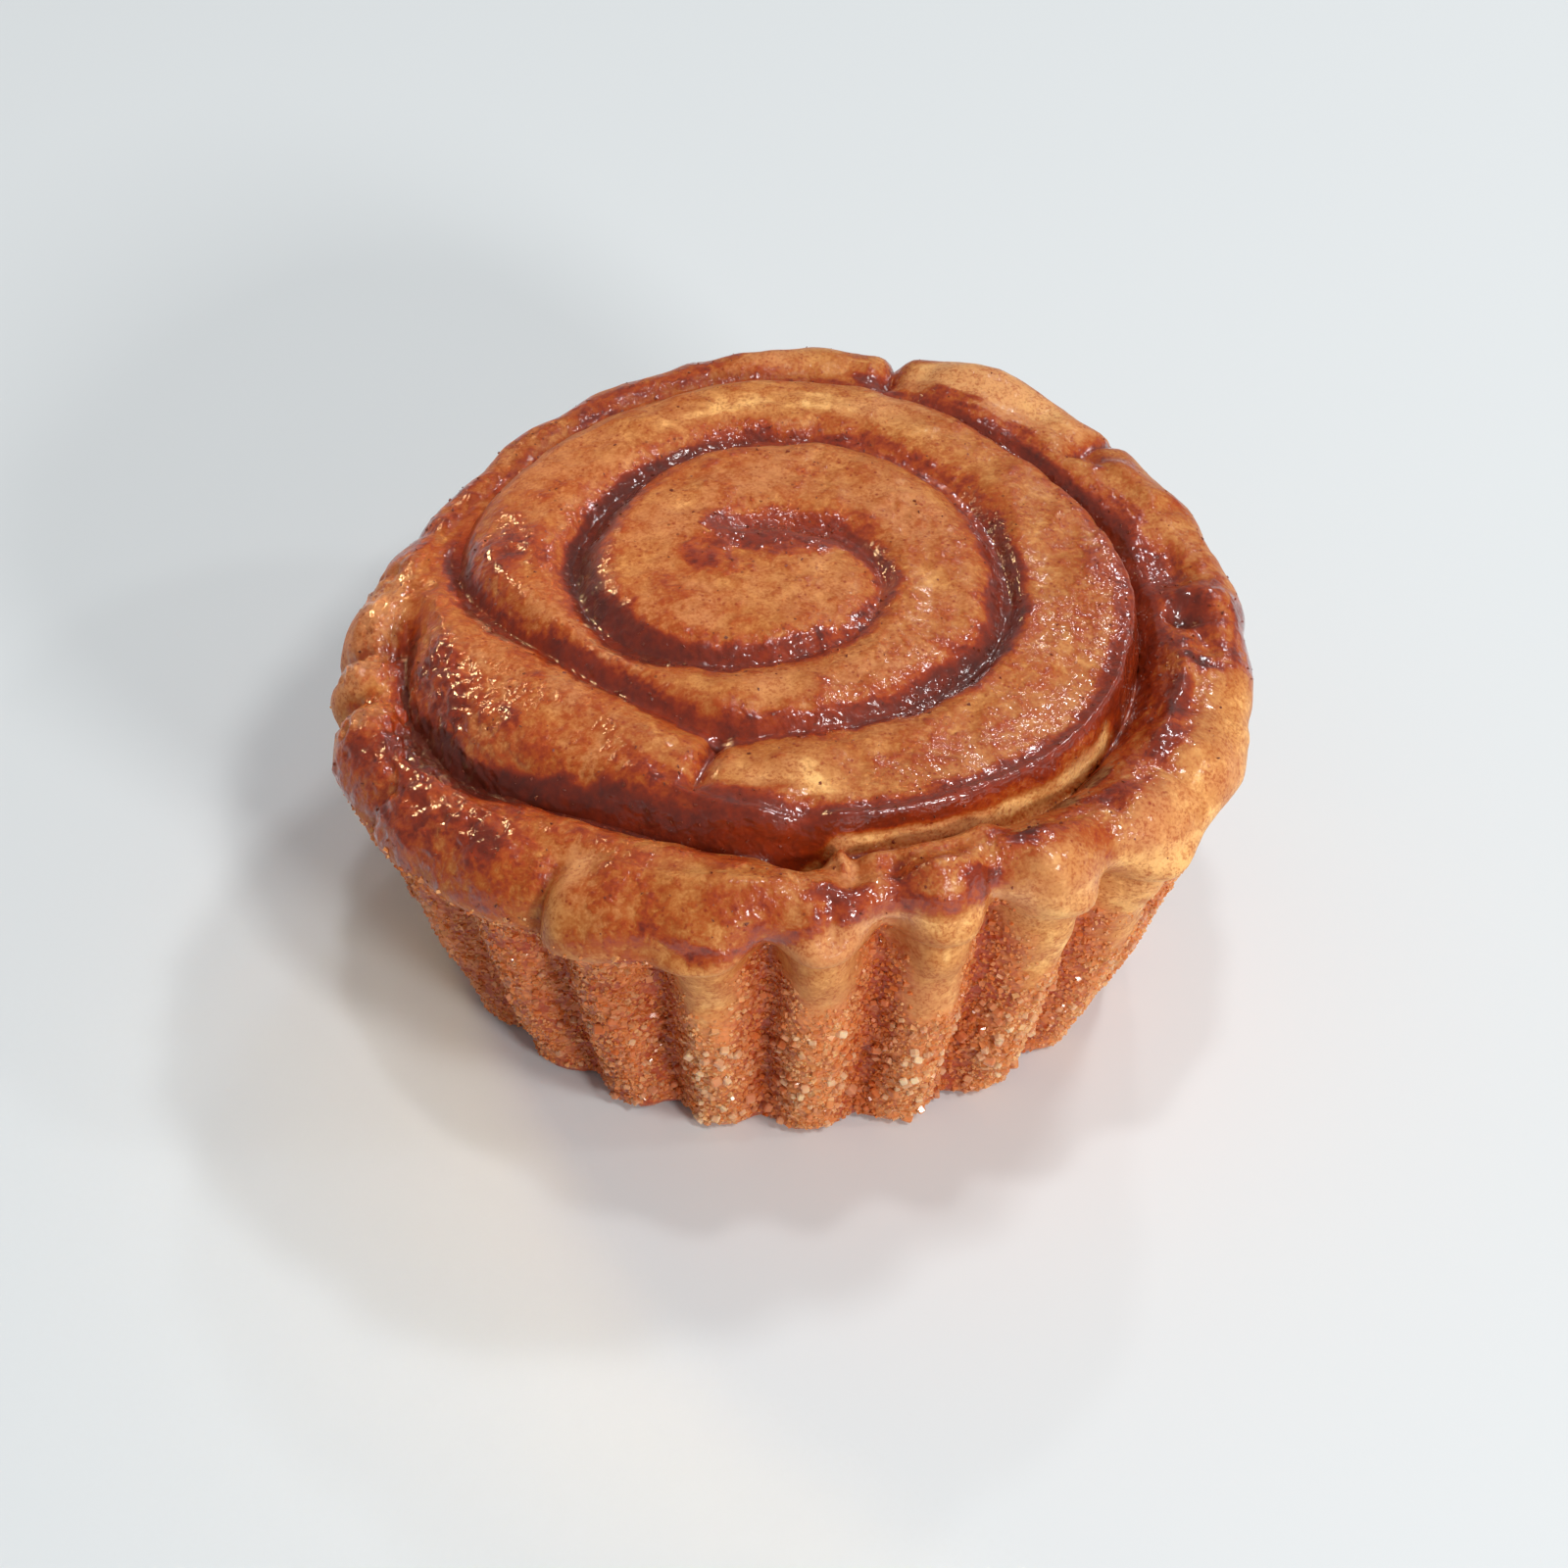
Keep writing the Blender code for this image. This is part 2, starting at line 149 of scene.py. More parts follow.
# The red band along the disc's edge: (turn, width, syrup)
EDGE_BAND = (
    (808, 0.6, 0), (828, 1.2, 0.5), (850, 2.2, 0.7), (880, 2.9, 0.8), (905, 2.7, 0.82),
    (935, 3.2, 0.82), (965, 4, 0.82), (990, 3, 0.4), (1005, 2, 0),
)
BAND_RAGGED = 0.9
BAND_START = (0.32, 0.56)
BAND_END = (0.35, 1.1)

# The nearly bare wall under the disc's edge, kept extra pale as painted light against the overhang's shade
WALL_FOOT = 0.4
WALL_TOP = (0.32, 0.48)
WALL_SYRUP_AND_PAINTED_LIGHT = 0.02
WALL_PATCH = 0.12

# Where small blisters of syrup catch the light: (angle, radius, length, width, strength)
BLISTERS = (
    (182, 23, 9, 2.6, 1), (204, 22.5, 6, 2.6, 1), (166, 35, 8, 3.4, 1), (196, 42, 9, 4.5, 1),
    (212, 41, 7, 5, 0.9), (172, 48, 6, 3.5, 1), (186, 49.5, 4, 3, 0.9), (205, 48, 8, 4, 1),
    (222, 48, 9, 3.4, 1), (214, 50.5, 8, 3.5, 0.8), (198, 50.5, 5, 4, 1), (183, 47.5, 6, 4, 1),
    (215, 31, 5, 2, 0.7), (236, 30.5, 6, 1.8, 0.7), (240, 22.5, 5, 2.2, 0.6), (8, 38.5, 9, 4.4, 1),
    (350, 38, 9, 4.6, 1), (330, 37, 9, 3.6, 0.9), (352, 30, 6, 4, 0.5), (345, 24.5, 7, 2.6, 0.7),
    (12, 27, 5, 3, 0.5), (325, 46.5, 9, 3.6, 0.8), (330, 40, 8, 1.8, 1), (340, 49, 7, 3, 0.6),
    (310, 48.5, 6, 2.4, 0.5), (310, 37.5, 10, 2.4, 0.8), (285, 38, 12, 2.4, 0.8),
    (260, 36.5, 9, 2.6, 0.6), (275, 31.5, 8, 3, 0.5), (300, 23, 5, 1.6, 0.7), (286, 10, 5, 1.2, 0.8),
    (345, 14.5, 3, 1.4, 0.6), (330, 46.5, 7, 3, 0.8), (296, 32.5, 7, 3, 0.8), (318, 32.5, 7, 3, 0.7),
    (290, 19, 6, 2.6, 0.6), (318, 19, 5, 2, 0.6), (255, 31, 6, 2, 0.5), (262, 37.5, 9, 1.4, 0.8),
    (342, 46, 4, 3, 0.7), (300, 46, 8, 2.6, 0.8), (284, 46.5, 6, 2.6, 0.9), (325, 41.6, 2.4, 1.6, 1),
    (316.5, 41.4, 2.2, 1.4, 1), (252, 44, 5, 1.6, 0.6), (268, 47.5, 9, 2, 0.4), (268, 33, 12, 3.4, 0.4),
    (250, 41, 8, 1.6, 0.7), (5, 46.5, 5, 2, 0.6), (60, 43, 9, 1.4, 0.4),
)
DARK_WRINKLE = 0.35
CALM_BACK = 0.75

# The groove's floor is duller at the left, in the filling too
DULL = 0.85
DULL_WIDTH = 1.2

# The syrup's lower edge under the lip, at the front: (angle, height)
RED_LINE = (
    (0, 37), (238, 42), (246, 42), (253, 41.8), (258, 41.2), (263, 40), (267, 40.1), (270, 41.6),
    (274, 43.6), (280, 43.8), (287, 43.6), (294, 44.2), (310, 43.4), (320, 43), (335, 42), (350, 40),
    (360, 37),
)
LINE_RAGGED = 0.8
LINE_SYRUP = 0.68
UNDER_LESS = 0.75

# The left lip's coat of syrup, and the heights above the lip where it fades
LEFT_LIP_HEIGHTS = (-2.5, 1.5)
LEFT_LIP_SYRUP = 0.66

# The thin coat, its unevenness, and more of it in places: (sector, band of radii, amount)
SYRUP_BASE = 0.28
SYRUP_STREAK = 0.04
SYRUP_PATCH = 0.16
TO_THE_EDGE = (90, 91)
SYRUP_ZONES = (
    ((305, 375, 8), (41, 43, 49.5, 52), 0.2), ((196, 232, 8), (43, 46, *TO_THE_EDGE), 0.14),
    ((112, 165, 12), (41, 43, 49.5, 52), 0.08), ((160, 225, 20), (20, 34, *TO_THE_EDGE), 0.12),
    ((238, 270, 6), (45, 47, *TO_THE_EDGE), 0.1),
)
BESIDE_SYRUP = 0.10

# Thick or thin places of the syrup, the back crown's thin place partly a painted sheen: (angle, radius,
# length, width, change)
PATCHES = (
    (4, 46, 3.4, 2.8, 0.34), (13, 44.4, 5, 2.2, 0.26), (24, 43.4, 5, 1.8, 0.34), (1, 52, 8, 1.4, 0.5),
    (352, 47.6, 1.4, 3.2, 0.55), (344, 44.8, 4, 2.4, 0.36), (334, 46.8, 3.4, 2.4, 0.34),
    (315, 48.6, 2.2, 1.4, 0.45), (325, 41.8, 2.6, 1.5, 0.85), (316.5, 41.5, 2.2, 1.3, 0.8),
    (322, 47, 3, 2.2, 0.28), (305, 45.2, 3.2, 1.7, 0.42), (297, 47.2, 3, 1.3, 0.45),
    (287.5, 46.4, 4.2, 1.6, 0.08), (277, 46.2, 4.2, 1.6, 0.5), (255, 44.5, 4, 2.2, -0.1),
    (264, 45, 3, 2, -0.14), (270, 38, 2, 2.4, 0.45), (277, 39, 1.6, 2.2, -0.3),
    (278.6, 40.5, 0.9, 3, -0.35), (78, 44, 2.6, 2.4, 0.55), (66, 42.6, 5, 1.2, 0.4),
    (50, 42.4, 5, 1.2, 0.36), (62, 47.2, 12, 4, -0.34), (40, 46, 2.4, 1.6, 0.3),
    (48, 48, 5, 2.4, -0.1), (104, 47.4, 4, 1.8, 0.1), (90, 47, 7, 3, -0.2), (122, 46.5, 5, 2, 0.14),
    (150, 46.5, 6, 2.4, 0.12), (154, 11.8, 4.4, 3.2, 0.34), (60, 12.6, 4, 3, 0.3),
    # (88, 34.5): the back crown, paler partly from thin syrup and partly as a painted sheen
    (40, 9.6, 4, 2.6, 0.22), (88, 34.5, 18, 5, -0.18), (268, 33.5, 10, 4, -0.14),
    (110, 36, 8, 3, -0.06), (176, 48, 4, 3.4, -0.26), (189, 50, 2.8, 2.8, -0.26),
    (199, 50, 3, 2.6, -0.16), (183.5, 49, 1.4, 4, 0.35), (193, 51, 1.4, 4, 0.35),
    (330.5, 48.5, 1, 3, 0.25), (207, 48.5, 5, 2.4, 0.14), (214, 51.5, 5, 2.2, 0.24),
    (226, 49, 5, 2, 0.22), (202, 53, 4, 2, 0.14), (238, 43, 4, 2, 0.14), (231, 46, 4, 1.6, -0.14),
    (196, 42, 8, 4, 0.3), (208, 39.5, 7, 3.4, 0.18), (222, 37.5, 6, 2, 0.14), (205, 34, 4, 3, 0.1),
    (196, 30, 12, 1.6, -0.1), (265, 30, 6, 3, -0.06), (300, 30, 5, 4, 0.1), (355, 33, 8, 3, 0.16),
    (10, 36.5, 8, 2.4, 0.2), (20, 24, 9, 3, 0.14), (166, 35, 7, 3, 0.16), (246, 47.5, 4, 3, 0.14),
)
SPOT_RAGGED = (1.4, 1.2)

# Streaks along the coils
STREAK_LENGTH = 4
STREAK_WIDTH = 1.8
STREAK_CLIMB = 0.1

# Where the syrup is paler: (sector, from radius and full radius, share, unevenness)
PALE_ZONES = (
    ((167, 197, 5), (44.5, 47.5), 0.7, 0), ((303, 348, 7), (46.4, 49.4), 0.85, 0.7),
)
PALER_BY = 0.75
FOLD_EDGE_ANGLE = 241.6
FOLD_EDGE_WIDTH = 1.9
FOLD_EDGE_PALE = 0.8

# The tone of the bare side, darker in the valleys and paler on the bulge at the right. The darkening in the
# valleys is partly painted shade
SIDE_SYRUP = 0.13
SIDE_PATCH = 0.06
SIDE_VALLEY = 0.25
BULGE_SMOOTHER = 0.7
BULGE_PALER = 0.06
# The sugar and crust on the left side are darker and redder: painted shade
LEFT_SHADE = 0.65

# The sugar's upper edge: its height, and how far it wanders and climbs in the valleys
SUGAR_EDGE = 26.5
SUGAR_WANDER = 5.5
SUGAR_CLIMB = 12
CLIMB_LESS = 8
LEFT_RISE = 8
SUGAR_FADE = (-4.5, 2.5)

# Creases across the coils, syrup in the first ones: (angle, from radius, to radius, depth, half width)
CREASES = (
    (252, 23.5, 35, 1.8, 1.3), (76.5, 42, 60, 2.2, 1.4), (42, 42, 60, 1.3, 1.4), (3, 42, 51, 1.6, 2),
    (320, 44, 50, 0.9, 0.9), (285.5, 40, 50, 1.6, 2), (192.5, 47, 60, 1.8, 1.6),
    (183.5, 44, 60, 2.2, 1.8), (210, 48, 60, 1.2, 2), (238.6, 45, 60, 1.6, 1.1),
    (278.6, 37, 45, -1.3, 0.8), (276, 45, 52, 1, 1.2), (316, 45, 49.5, 0.9, 0.7),
    (352.5, 44.5, 51, 1, 0.8), (330.5, 46, 52, 0.7, 0.5), (318, 42, 46, 0.5, 0.8),
    (298.5, 43, 50, 1.1, 1.2), (343, 44, 50, 0.8, 0.9), (25, 45, 52, 0.7, 1.2), (158, 45, 54, 0.9, 1.2),
    (168, 46, 54, 0.9, 1), (173, 41, 48, 0.8, 1.2),
)
CREASE_RUN_IN = 3
SYRUP_CREASES = 6
CREASE_SYRUP = 0.75

# Knobs and lumps of the rim (outward) and pits (inward, negative): (angle, radius, rise, spread)
KNOBS = (
    (177, 49.5, 1.2, 3), (188, 50.5, 1.4, 2.6), (199, 51, 1.2, 3.5), (272, 38.5, -1.6, 2.6),
    (11, 45.5, -1.8, 3), (356, 48, -1.2, 1.6), (60, 48, 0.8, 6), (300, 44, 0.9, 5), (335, 46, 0.8, 6),
    (291, 46.3, 1.3, 2.8), (306.5, 47.8, 1.6, 4), (279.5, 43.6, -1.4, 2.4), (262, 45.5, 0.5, 4),
    (272.5, 38.8, -2.2, 2.6), (277.5, 39.5, 1.2, 1.2), (246, 46.5, 0.6, 3), (323, 47.8, 0.9, 3.2),
    (336, 48.5, 0.8, 3.2), (352, 45.2, 1, 2.2), (3, 45, -1, 1.8), (8.5, 45.6, 1.3, 2.4),
    (5, 49.2, 0.8, 2.2), (359, 47.2, -1.3, 1.3), (17, 44.6, -1, 2.4), (28, 47.6, 0.8, 3.4),
    (65, 46.6, 1, 5), (47, 46.8, 0.8, 3), (39.5, 46.4, -0.9, 1.6), (34, 47, 0.7, 2.4),
)

# Raised folds along the rim: (from angle, to angle, radius, rise, half width, exponent)
RIDGES = (
    (281, 303, 41.3, 1.4, 1.7, 2), (243, 271, 45.6, 1, 1.5, 1.2), (333, 350, 45.2, 0.8, 1.6, 1.5),
    (20, 38, 46.5, 0.6, 1.4, 2), (84, 128, 46.8, 0.5, 2.4, 2), (160, 176, 45.5, 0.4, 1.6, 2),
    (284, 298, 45.6, 0.6, 1.2, 1.3), (203, 232, 46.5, 0.6, 1.8, 1.5),
)
RIDGE_INSET = 3
RIDGE_SOFT = 5

# A raised bead of syrup along the disc's edge
BEAD_RISE = 0.45
BEAD_HALF_WIDTH = 0.7

# The outer layer's end, a fold standing out of the front lip
FOLD_RISE = 1.8
FOLD_RADIUS = 43.5

# The top's relief points away from a core inside the lip
CORE_DROP = 1
CORE_LEAST = 0.5

# Heights of the fine relief, and where it is wrinkled: (from radius, full radius, share)
LUMP_HEIGHT = 0.4
DIMPLE_HEIGHT = 0.15
WRINKLE_HEIGHT = 0.34
CRUST_HEIGHT = 0.24
WRINKLED_RADII = ((30, 38, 1), (44, 47, 0.6))
SEED_SHIFT = (13.7, 7.1, 3.3)

# The filling's section, and its level above the groove's floor as a share of the groove's depth
FILLING_BOTTOM = 7
BOTTOM_SHARE = 0.74
FILLING_STEP = 1.5
FILLING_LEVEL = 0.07
FILLING_WAVE = 0.6
FILLING_SINK = 0.5
FILLING_RUN_OUT = 12
THIN_TURNS = ((700, 725, 780, 810), (850, 880, 955, 975))
THINNER = 0.85
FILLING_WRINKLE = 0.9
SEARCH_REACH = 3
SEARCH_STEPS = 61
FILLING_SECTION = (
    (-1, -30), (-1, -3), (-1.3, -0.7), (-1.3, -0.2), (-0.7, -0.03), (0, 0), (0.7, -0.03), (1.3, -0.2),
    (1.3, -0.7), (1, -3), (1, -30),
)

# Colours, as linear red, green and blue. Dough darkens with the thickness of its syrup; the palest colour, at
# no syrup, is paler than bare dough, partly painted light for the shaded wall under the disc's edge:
SYRUP_COLOURS = (
    (0, (0.98, 0.56, 0.2)), (0.11, (0.65, 0.28, 0.08)), (0.24, (0.49, 0.163, 0.037)),
    (0.4, (0.43, 0.1, 0.017)), (0.56, (0.38, 0.056, 0.007)), (0.74, (0.265, 0.026, 0.004)),
    (0.9, (0.15, 0.017, 0.006)), (1, (0.095, 0.014, 0.007)),
)
GRAINY_BROWN = SYRUP_COLOURS[4][1]
DOUGH_PINK = (0.6, 0.225, 0.088)
DOUGH_PALE = (0.66, 0.28, 0.09)
FRECKLE = (0.29, 0.034, 0.009)
CRUST_DARK = (0.36, 0.04, 0.004)
CRUST_LIGHT = (0.74, 0.235, 0.064)
SUGAR_AMBER = (0.9, 0.46, 0.21)
SUGAR_CLEAR = (1, 0.7, 0.42)
SUGAR_RED = (0.56, 0.098, 0.015)
SPECK_BROWN = (0.16, 0.03, 0.012)
SPECK_RED = (0.22, 0.032, 0.009)
FLOOR_PALE = (0.77, 0.81, 0.82)
FLOOR_GREY = (0.74, 0.76, 0.78)

# Grains: (count, smallest side, largest side, bevel, flatness, lift as a share of the size, seed)
GRAINS = {
    "sugar_fine": (15500, 0.2, 0.46, 0, 1, 0.02, 31),
    "sugar_medium": (10500, 0.42, 0.86, 0, 1, -0.24, 34),
    "sugar_coarse": (420, 0.66, 1.25, 0.16, 1, 0.12, 32),
    "cinnamon_specks": (1300, 0.12, 0.42, 0, 0.4, 0, 33),
}
# Each sugar's material: (name, colour, roughness, clearness)
SUGAR_LOOKS = {
    "sugar_fine": ("fine_sugar", SUGAR_AMBER, 0.22, 0),
    "sugar_medium": ("medium_sugar", SUGAR_AMBER, 0.12, 0.06),
    "sugar_coarse": ("coarse_sugar", SUGAR_CLEAR, 0.08, 0.14),
}
FEWER_IN_VALLEYS = 0.30
COARSE_ELSEWHERE = 0.10
SPECKS_EVERYWHERE = 0.04

# The crust's crystals, and how far light spreads under the surface (metres)
CRYSTAL_SIZE = 0.75
GLOW_RADIUS = (0.004, 0.0016, 0.0007)
GLOW_SCALE = 0.4

# The camera, calibrated on the photograph (metres and degrees)
CAMERA_ELEVATION = 43
CAMERA_ROLL = 2.2
CAMERA_DISTANCE = 0.42
CAMERA_TARGET = (-0.0005, 0, 0.0181)
CAMERA_LENS = 80
CAMERA_SENSOR = 36

# The studio, in metres. Lamps: (name, place, size, watts, colour)
FLOOR_SIZE = 4
WORLD_COLOUR = (0.97, 0.98, 1, 1)
WORLD_STRENGTH = 0.26
LAMPS = (
    ("key_front_right", (0.68, -0.8, 1.5), (0.25, 0.25), 9, (1, 0.99, 0.98)),
    ("above", (0, 0.12, 1.8), (0.14, 0.14), 4, (1, 0.99, 1)),
    ("front_low", (0.9, -1.15, 0.6), (0.3, 0.22), 11.5, (1, 0.99, 0.98)),
    ("right_window", (0.7, 0.7, 1.39), (0.21, 0.15), 5.6, (0.98, 0.99, 1)),
    ("right_fill", (1.35, -0.15, 0.95), (0.12, 0.09), 2.2, (0.98, 0.99, 1)),
    ("back_window", (0.35, 1.3, 1.1), (0.1, 0.1), 2, (0.97, 0.98, 1)),
)
LAMP_AIM = (0, 0, 0.03)
WARM_LAMP = ("left_warm", (-0.174, 0.155, 0.189), (0.085, 0.022), 0.006, (1, 0.72, 0.36))
WARM_AIM = (-0.04, 0, 0.045)
WARM_SPREAD = 22


def smooth(value, start, end):
    """0 up to the start, 1 from the end on, and a smooth rise between them."""
    share = np.clip((value - start) / (end - start), 0, 1)
    return share * share * (3 - 2 * share)


def between(value, start, full, fade, end):
    """A band: 0 up to the start, 1 from full to fade, and 0 again from the end on."""
    return smooth(value, start, full) * (1 - smooth(value, fade, end))


def curve_through(x, knots, values):
    """A smooth curve through the control points, flat beyond its ends."""
    knots = np.asarray(knots, float)
    values = np.asarray(values, float)
    slopes = np.gradient(values, knots)
    x = np.clip(x, knots[0], knots[-1])
    left = np.clip(np.searchsorted(knots, x) - 1, 0, len(knots) - 2)
    span = knots[left + 1] - knots[left]
    t = (x - knots[left]) / span
    rise = values[left + 1] - values[left]
    ease = t * t * (3 - 2 * t)
    return (values[left] + rise * ease
            + span * slopes[left] * t * (1 - t) ** 2
            - span * slopes[left + 1] * t * t * (1 - t))


def read_table(x, table):
    """The table's other columns at x, on straight lines from row to row."""
    knots, *columns = np.array(table, float).T
    return [np.interp(x, knots, column) for column in columns]


def around(values, angle):
    """A smooth curve round the axis through values given at even angles from +X."""
    places = np.arange(-2, len(values) + 3)
    looped = np.take(values, places, mode="wrap")
    return curve_through(np.mod(angle, 360), places * (360 / len(values)), looped)


def away_from(angle, other):
    """The signed difference between two angles, from -180 to 180."""
    return np.mod(angle - other + 180, 360) - 180


def angle_of(x, y):
    return np.mod(np.degrees(np.arctan2(y, x)), 360)


def to_xy(r, angle):
    turn = np.radians(angle)
    return r * np.cos(turn), r * np.sin(turn)


def sector(angle, start, end, soft):
    """1 between two angles, fading out over the soft angle beyond them."""
    middle = (start + end) / 2
    half = (end - start) / 2
    return 1 - smooth(np.abs(away_from(angle, middle)), half, half + soft)


def bumps(points, size, seed, octaves):
    """Perlin noise at each point, about -1 to 1."""
    shift = seed * Vector(SEED_SHIFT)
    return np.array([noise.fractal(Vector(p) / size + shift, 0.6, 2, octaves)
                     for p in points])


def arc(centre, radii, start, end):
    count = max(3, int(abs(np.radians(end - start)) * max(radii) / OUTLINE_STEP) + 1)
    t = np.radians(np.linspace(start, end, count))
    return [(centre[0] + radii[0] * np.cos(a), centre[1] + radii[1] * np.sin(a)) for a in t]


def line(start, end, step=OUTLINE_STEP):
    length = np.hypot(end[0] - start[0], end[1] - start[1])
    t = np.linspace(0, 1, max(2, int(length / step) + 1))
    return [(start[0] + (end[0] - start[0]) * s, start[1] + (end[1] - start[1]) * s) for s in t]


def outline():
    """Radius and height of the bun's outline, from the middle of the top to that of the base."""
    dome_radii = np.concatenate((np.arange(0, EDGE_FROM_RADIUS, OUTLINE_STEP),
                                 np.arange(EDGE_FROM_RADIUS, DISC_RADIUS, EDGE_STEP)))
    fall = TOP_HEIGHT - DISC_HEIGHT
    points = [(r, TOP_HEIGHT - fall * (r / DISC_RADIUS) ** DOME_POWER) for r in dome_radii]
    points += line((DISC_RADIUS, DISC_HEIGHT), (RIM_RADIUS, RIM_HEIGHT), RIM_STEP)
    crest = (RIM_RADIUS, LIP_HEIGHT)
    points += arc(crest, (LIP_RADIUS - RIM_RADIUS, RIM_HEIGHT - LIP_HEIGHT), 90, 0)[1:]
    under = (NECK_RADIUS, LIP_HEIGHT)
    points += arc(under, (LIP_RADIUS - NECK_RADIUS, LIP_HEIGHT - NECK_HEIGHT), 0, -90)[1:]
    corner = (BASE_RADIUS - BASE_CORNER, BASE_CORNER)
    side = line((NECK_RADIUS, NECK_HEIGHT), (BASE_RADIUS, BASE_CORNER), SIDE_STEP)[1:]
    drop = NECK_HEIGHT - BASE_CORNER
    points += [(r + SIDE_BELLY * np.sin(np.pi * (z - BASE_CORNER) / drop), z) for r, z in side]
    points += arc(corner, (BASE_CORNER, BASE_CORNER), 0, -90)[1:]
    points += line((corner[0], 0), (0, 0), BASE_STEP)[1:]
    return points


def top_profile():
    """Radii and heights of the outline, from the middle of the top to the lip."""
    return np.array([point for point in outline() if point[1] >= LIP_HEIGHT]).T


def lean_and_swell(r, z, angle):
    """Give the lip its own height and radius in each direction."""
    high = np.clip(z / LIP_HEIGHT, 0, 1)
    reach = (np.minimum(r, LIP_RADIUS) / LIP_RADIUS) ** LEAN_POWER
    swell = around(LIP_RADII, angle) / LIP_RADIUS - 1
    lean = around(LIP_HEIGHTS, angle) - LIP_HEIGHT
    oval = 1 + OVAL * np.cos(np.radians(2 * angle))
    return r * (1 + swell * high ** 2 * reach) * oval, z + lean * high * reach


def flute_valley(angle):
    """1 along a flute's valley, 0 on the ridges."""
    wander = FLUTE_WANDER * np.sin(np.radians(WANDER_WAVES * angle))
    phase = np.radians((angle - FLUTE_VALLEY) * FLUTES + wander)
    return np.abs(np.cos(phase / 2)) ** FLUTE_SHARPNESS


def flute_depth(r, z, angle):
    """How far the baking cup's flutes push the side in."""
    foot = FOOT_SHARE + (1 - FOOT_SHARE) * smooth(z, 0, FOOT_HEIGHT)
    lift = FLUTE_LIFT * sector(angle, 262, 320, 6)
    side = smooth(r, 32.5, 39.5) * (1 - smooth(z - lift, *FLUTE_FADE))
    lip = smooth(r, RIM_RADIUS, LIP_RADIUS) * smooth(z, *FLUTE_FADE)
    scallop = LIP_SCALLOP + FRONT_SCALLOP * sector(angle, 262, 320, 8)
    return flute_valley(angle) * (FLUTE_DEPTH * foot * side + scallop * lip)


def seam_values(turn):
    """Radius, depth and inner bank of the spiral groove at a turn."""
    table = np.array(SEAM, float)
    return [curve_through(turn, table[:, 0], table[:, column]) for column in (1, 2, 3)]


def seam_laps(r, angle):
    """For each lap of the groove: its turn, and the distance outward from it."""
    laps = []
    for lap in range(SEAM_LAPS):
        turn = np.mod(SEAM_START - angle, 360) + 360 * lap
        radius = seam_values(turn)[0]
        slope = (seam_values(turn + 1)[0] - seam_values(turn - 1)[0]) / 2
        laps.append((turn, (r - radius) / np.hypot(1, slope / np.radians(radius))))
    return laps


def groove_depth(laps):
    """Depth of the spiral groove below the bun's outline."""
    depth = 0
    for turn, offset in laps:
        deep, inner_bank = seam_values(turn)[1:]
        steeper = sector(SEAM_START - turn, 325, 375, 30) * (1 - smooth(turn, 560, 600))
        outer_bank = OUTER_BANK + WIDER_BY * between(turn, 825, 850, 890, 915) - STEEPER_BY * steeper
        bank = np.where(offset < 0, inner_bank, outer_bank)
        shape = np.clip(1 - np.abs(offset) / bank, 0, 1) ** 2
        ends = between(turn, 0, SEAM_RUN_IN, SEAM_END, SEAM_END + SEAM_RUN_OUT)
        depth = np.maximum(depth, deep * shape * ends)
    return depth


def edge_overhang(laps):
    """How far the disc's edge is pushed out over the outer groove."""
    push = 0
    for turn, offset in laps:
        overhang, = read_table(turn, OVERHANG)
        edge = OVERHANG_EDGE * seam_values(turn)[2]
        push = push + overhang * between(-offset, 0, edge, edge, edge + OVERHANG_RUN)
    return push


def groove_syrup(laps):
    """How thick the syrup from the filling lies in the groove and on its banks, with a thin halo."""
    syrup = 0
    for turn, offset in laps:
        strength, inward, outward = read_table(turn, STAIN)
        half = np.where(offset < 0, inward, outward)
        away = np.abs(offset)
        core = 1 - smooth(away, CORE_END[0] * half, CORE_END[1] * half)
        halo = HALO_STRENGTH * (1 - smooth(away, HALO_END[0] * half, HALO_END[1] * half + HALO_EXTRA))
        ends = between(turn, -12, 2, SEAM_END, SEAM_END + STAIN_RUN_OUT)
        syrup = np.maximum(syrup, strength * ends * np.maximum(core, halo))
    return syrup


def crease_shape(r, angle, crease):
    """1 along a crease's middle, 0 beside it and beyond its ends."""
    crease_angle, start, end, _, half_width = crease
    across = r * np.radians(away_from(angle, crease_angle))
    along = between(r, start, start + CREASE_RUN_IN, end - CREASE_RUN_IN, end)
    return along * np.clip(1 - np.abs(across) / (2 * half_width), 0, 1) ** 2


def crease_depth(r, angle):
    """Depth of the short creases across the coils and the rim."""
    return sum(crease[3] * crease_shape(r, angle, crease) for crease in CREASES)


def knob_rise(r, angle):
    """Rise of the rim's knobs, less the depth of its pits."""
    x, y = to_xy(r, angle)
    rise = np.zeros_like(r)
    for knob_angle, radius, height, spread in KNOBS:
        knob_x, knob_y = to_xy(radius, knob_angle)
        rise += height * np.exp(-((x - knob_x) ** 2 + (y - knob_y) ** 2) / spread ** 2)
    return rise


def ridge_rise(r, angle):
    """Rise of the folds that run along the rim."""
    rise = np.zeros_like(r)
    for start, end, radius, height, half_width, power in RIDGES:
        along = sector(angle, start + RIDGE_INSET, end - RIDGE_INSET, RIDGE_SOFT)
        rise += height * along * np.exp(-(np.abs(r - radius) / half_width) ** power)
    return rise


def edge_bead(laps):
    """Rise of the syrup that has set along the disc's edge."""
    turn, offset = laps[SEAM_LAPS - 1]
    from_edge = (-offset - seam_values(turn)[2]) / BEAD_HALF_WIDTH
    return BEAD_RISE * between(turn, 860, 875, 965, 985) * np.exp(-from_edge ** 2)


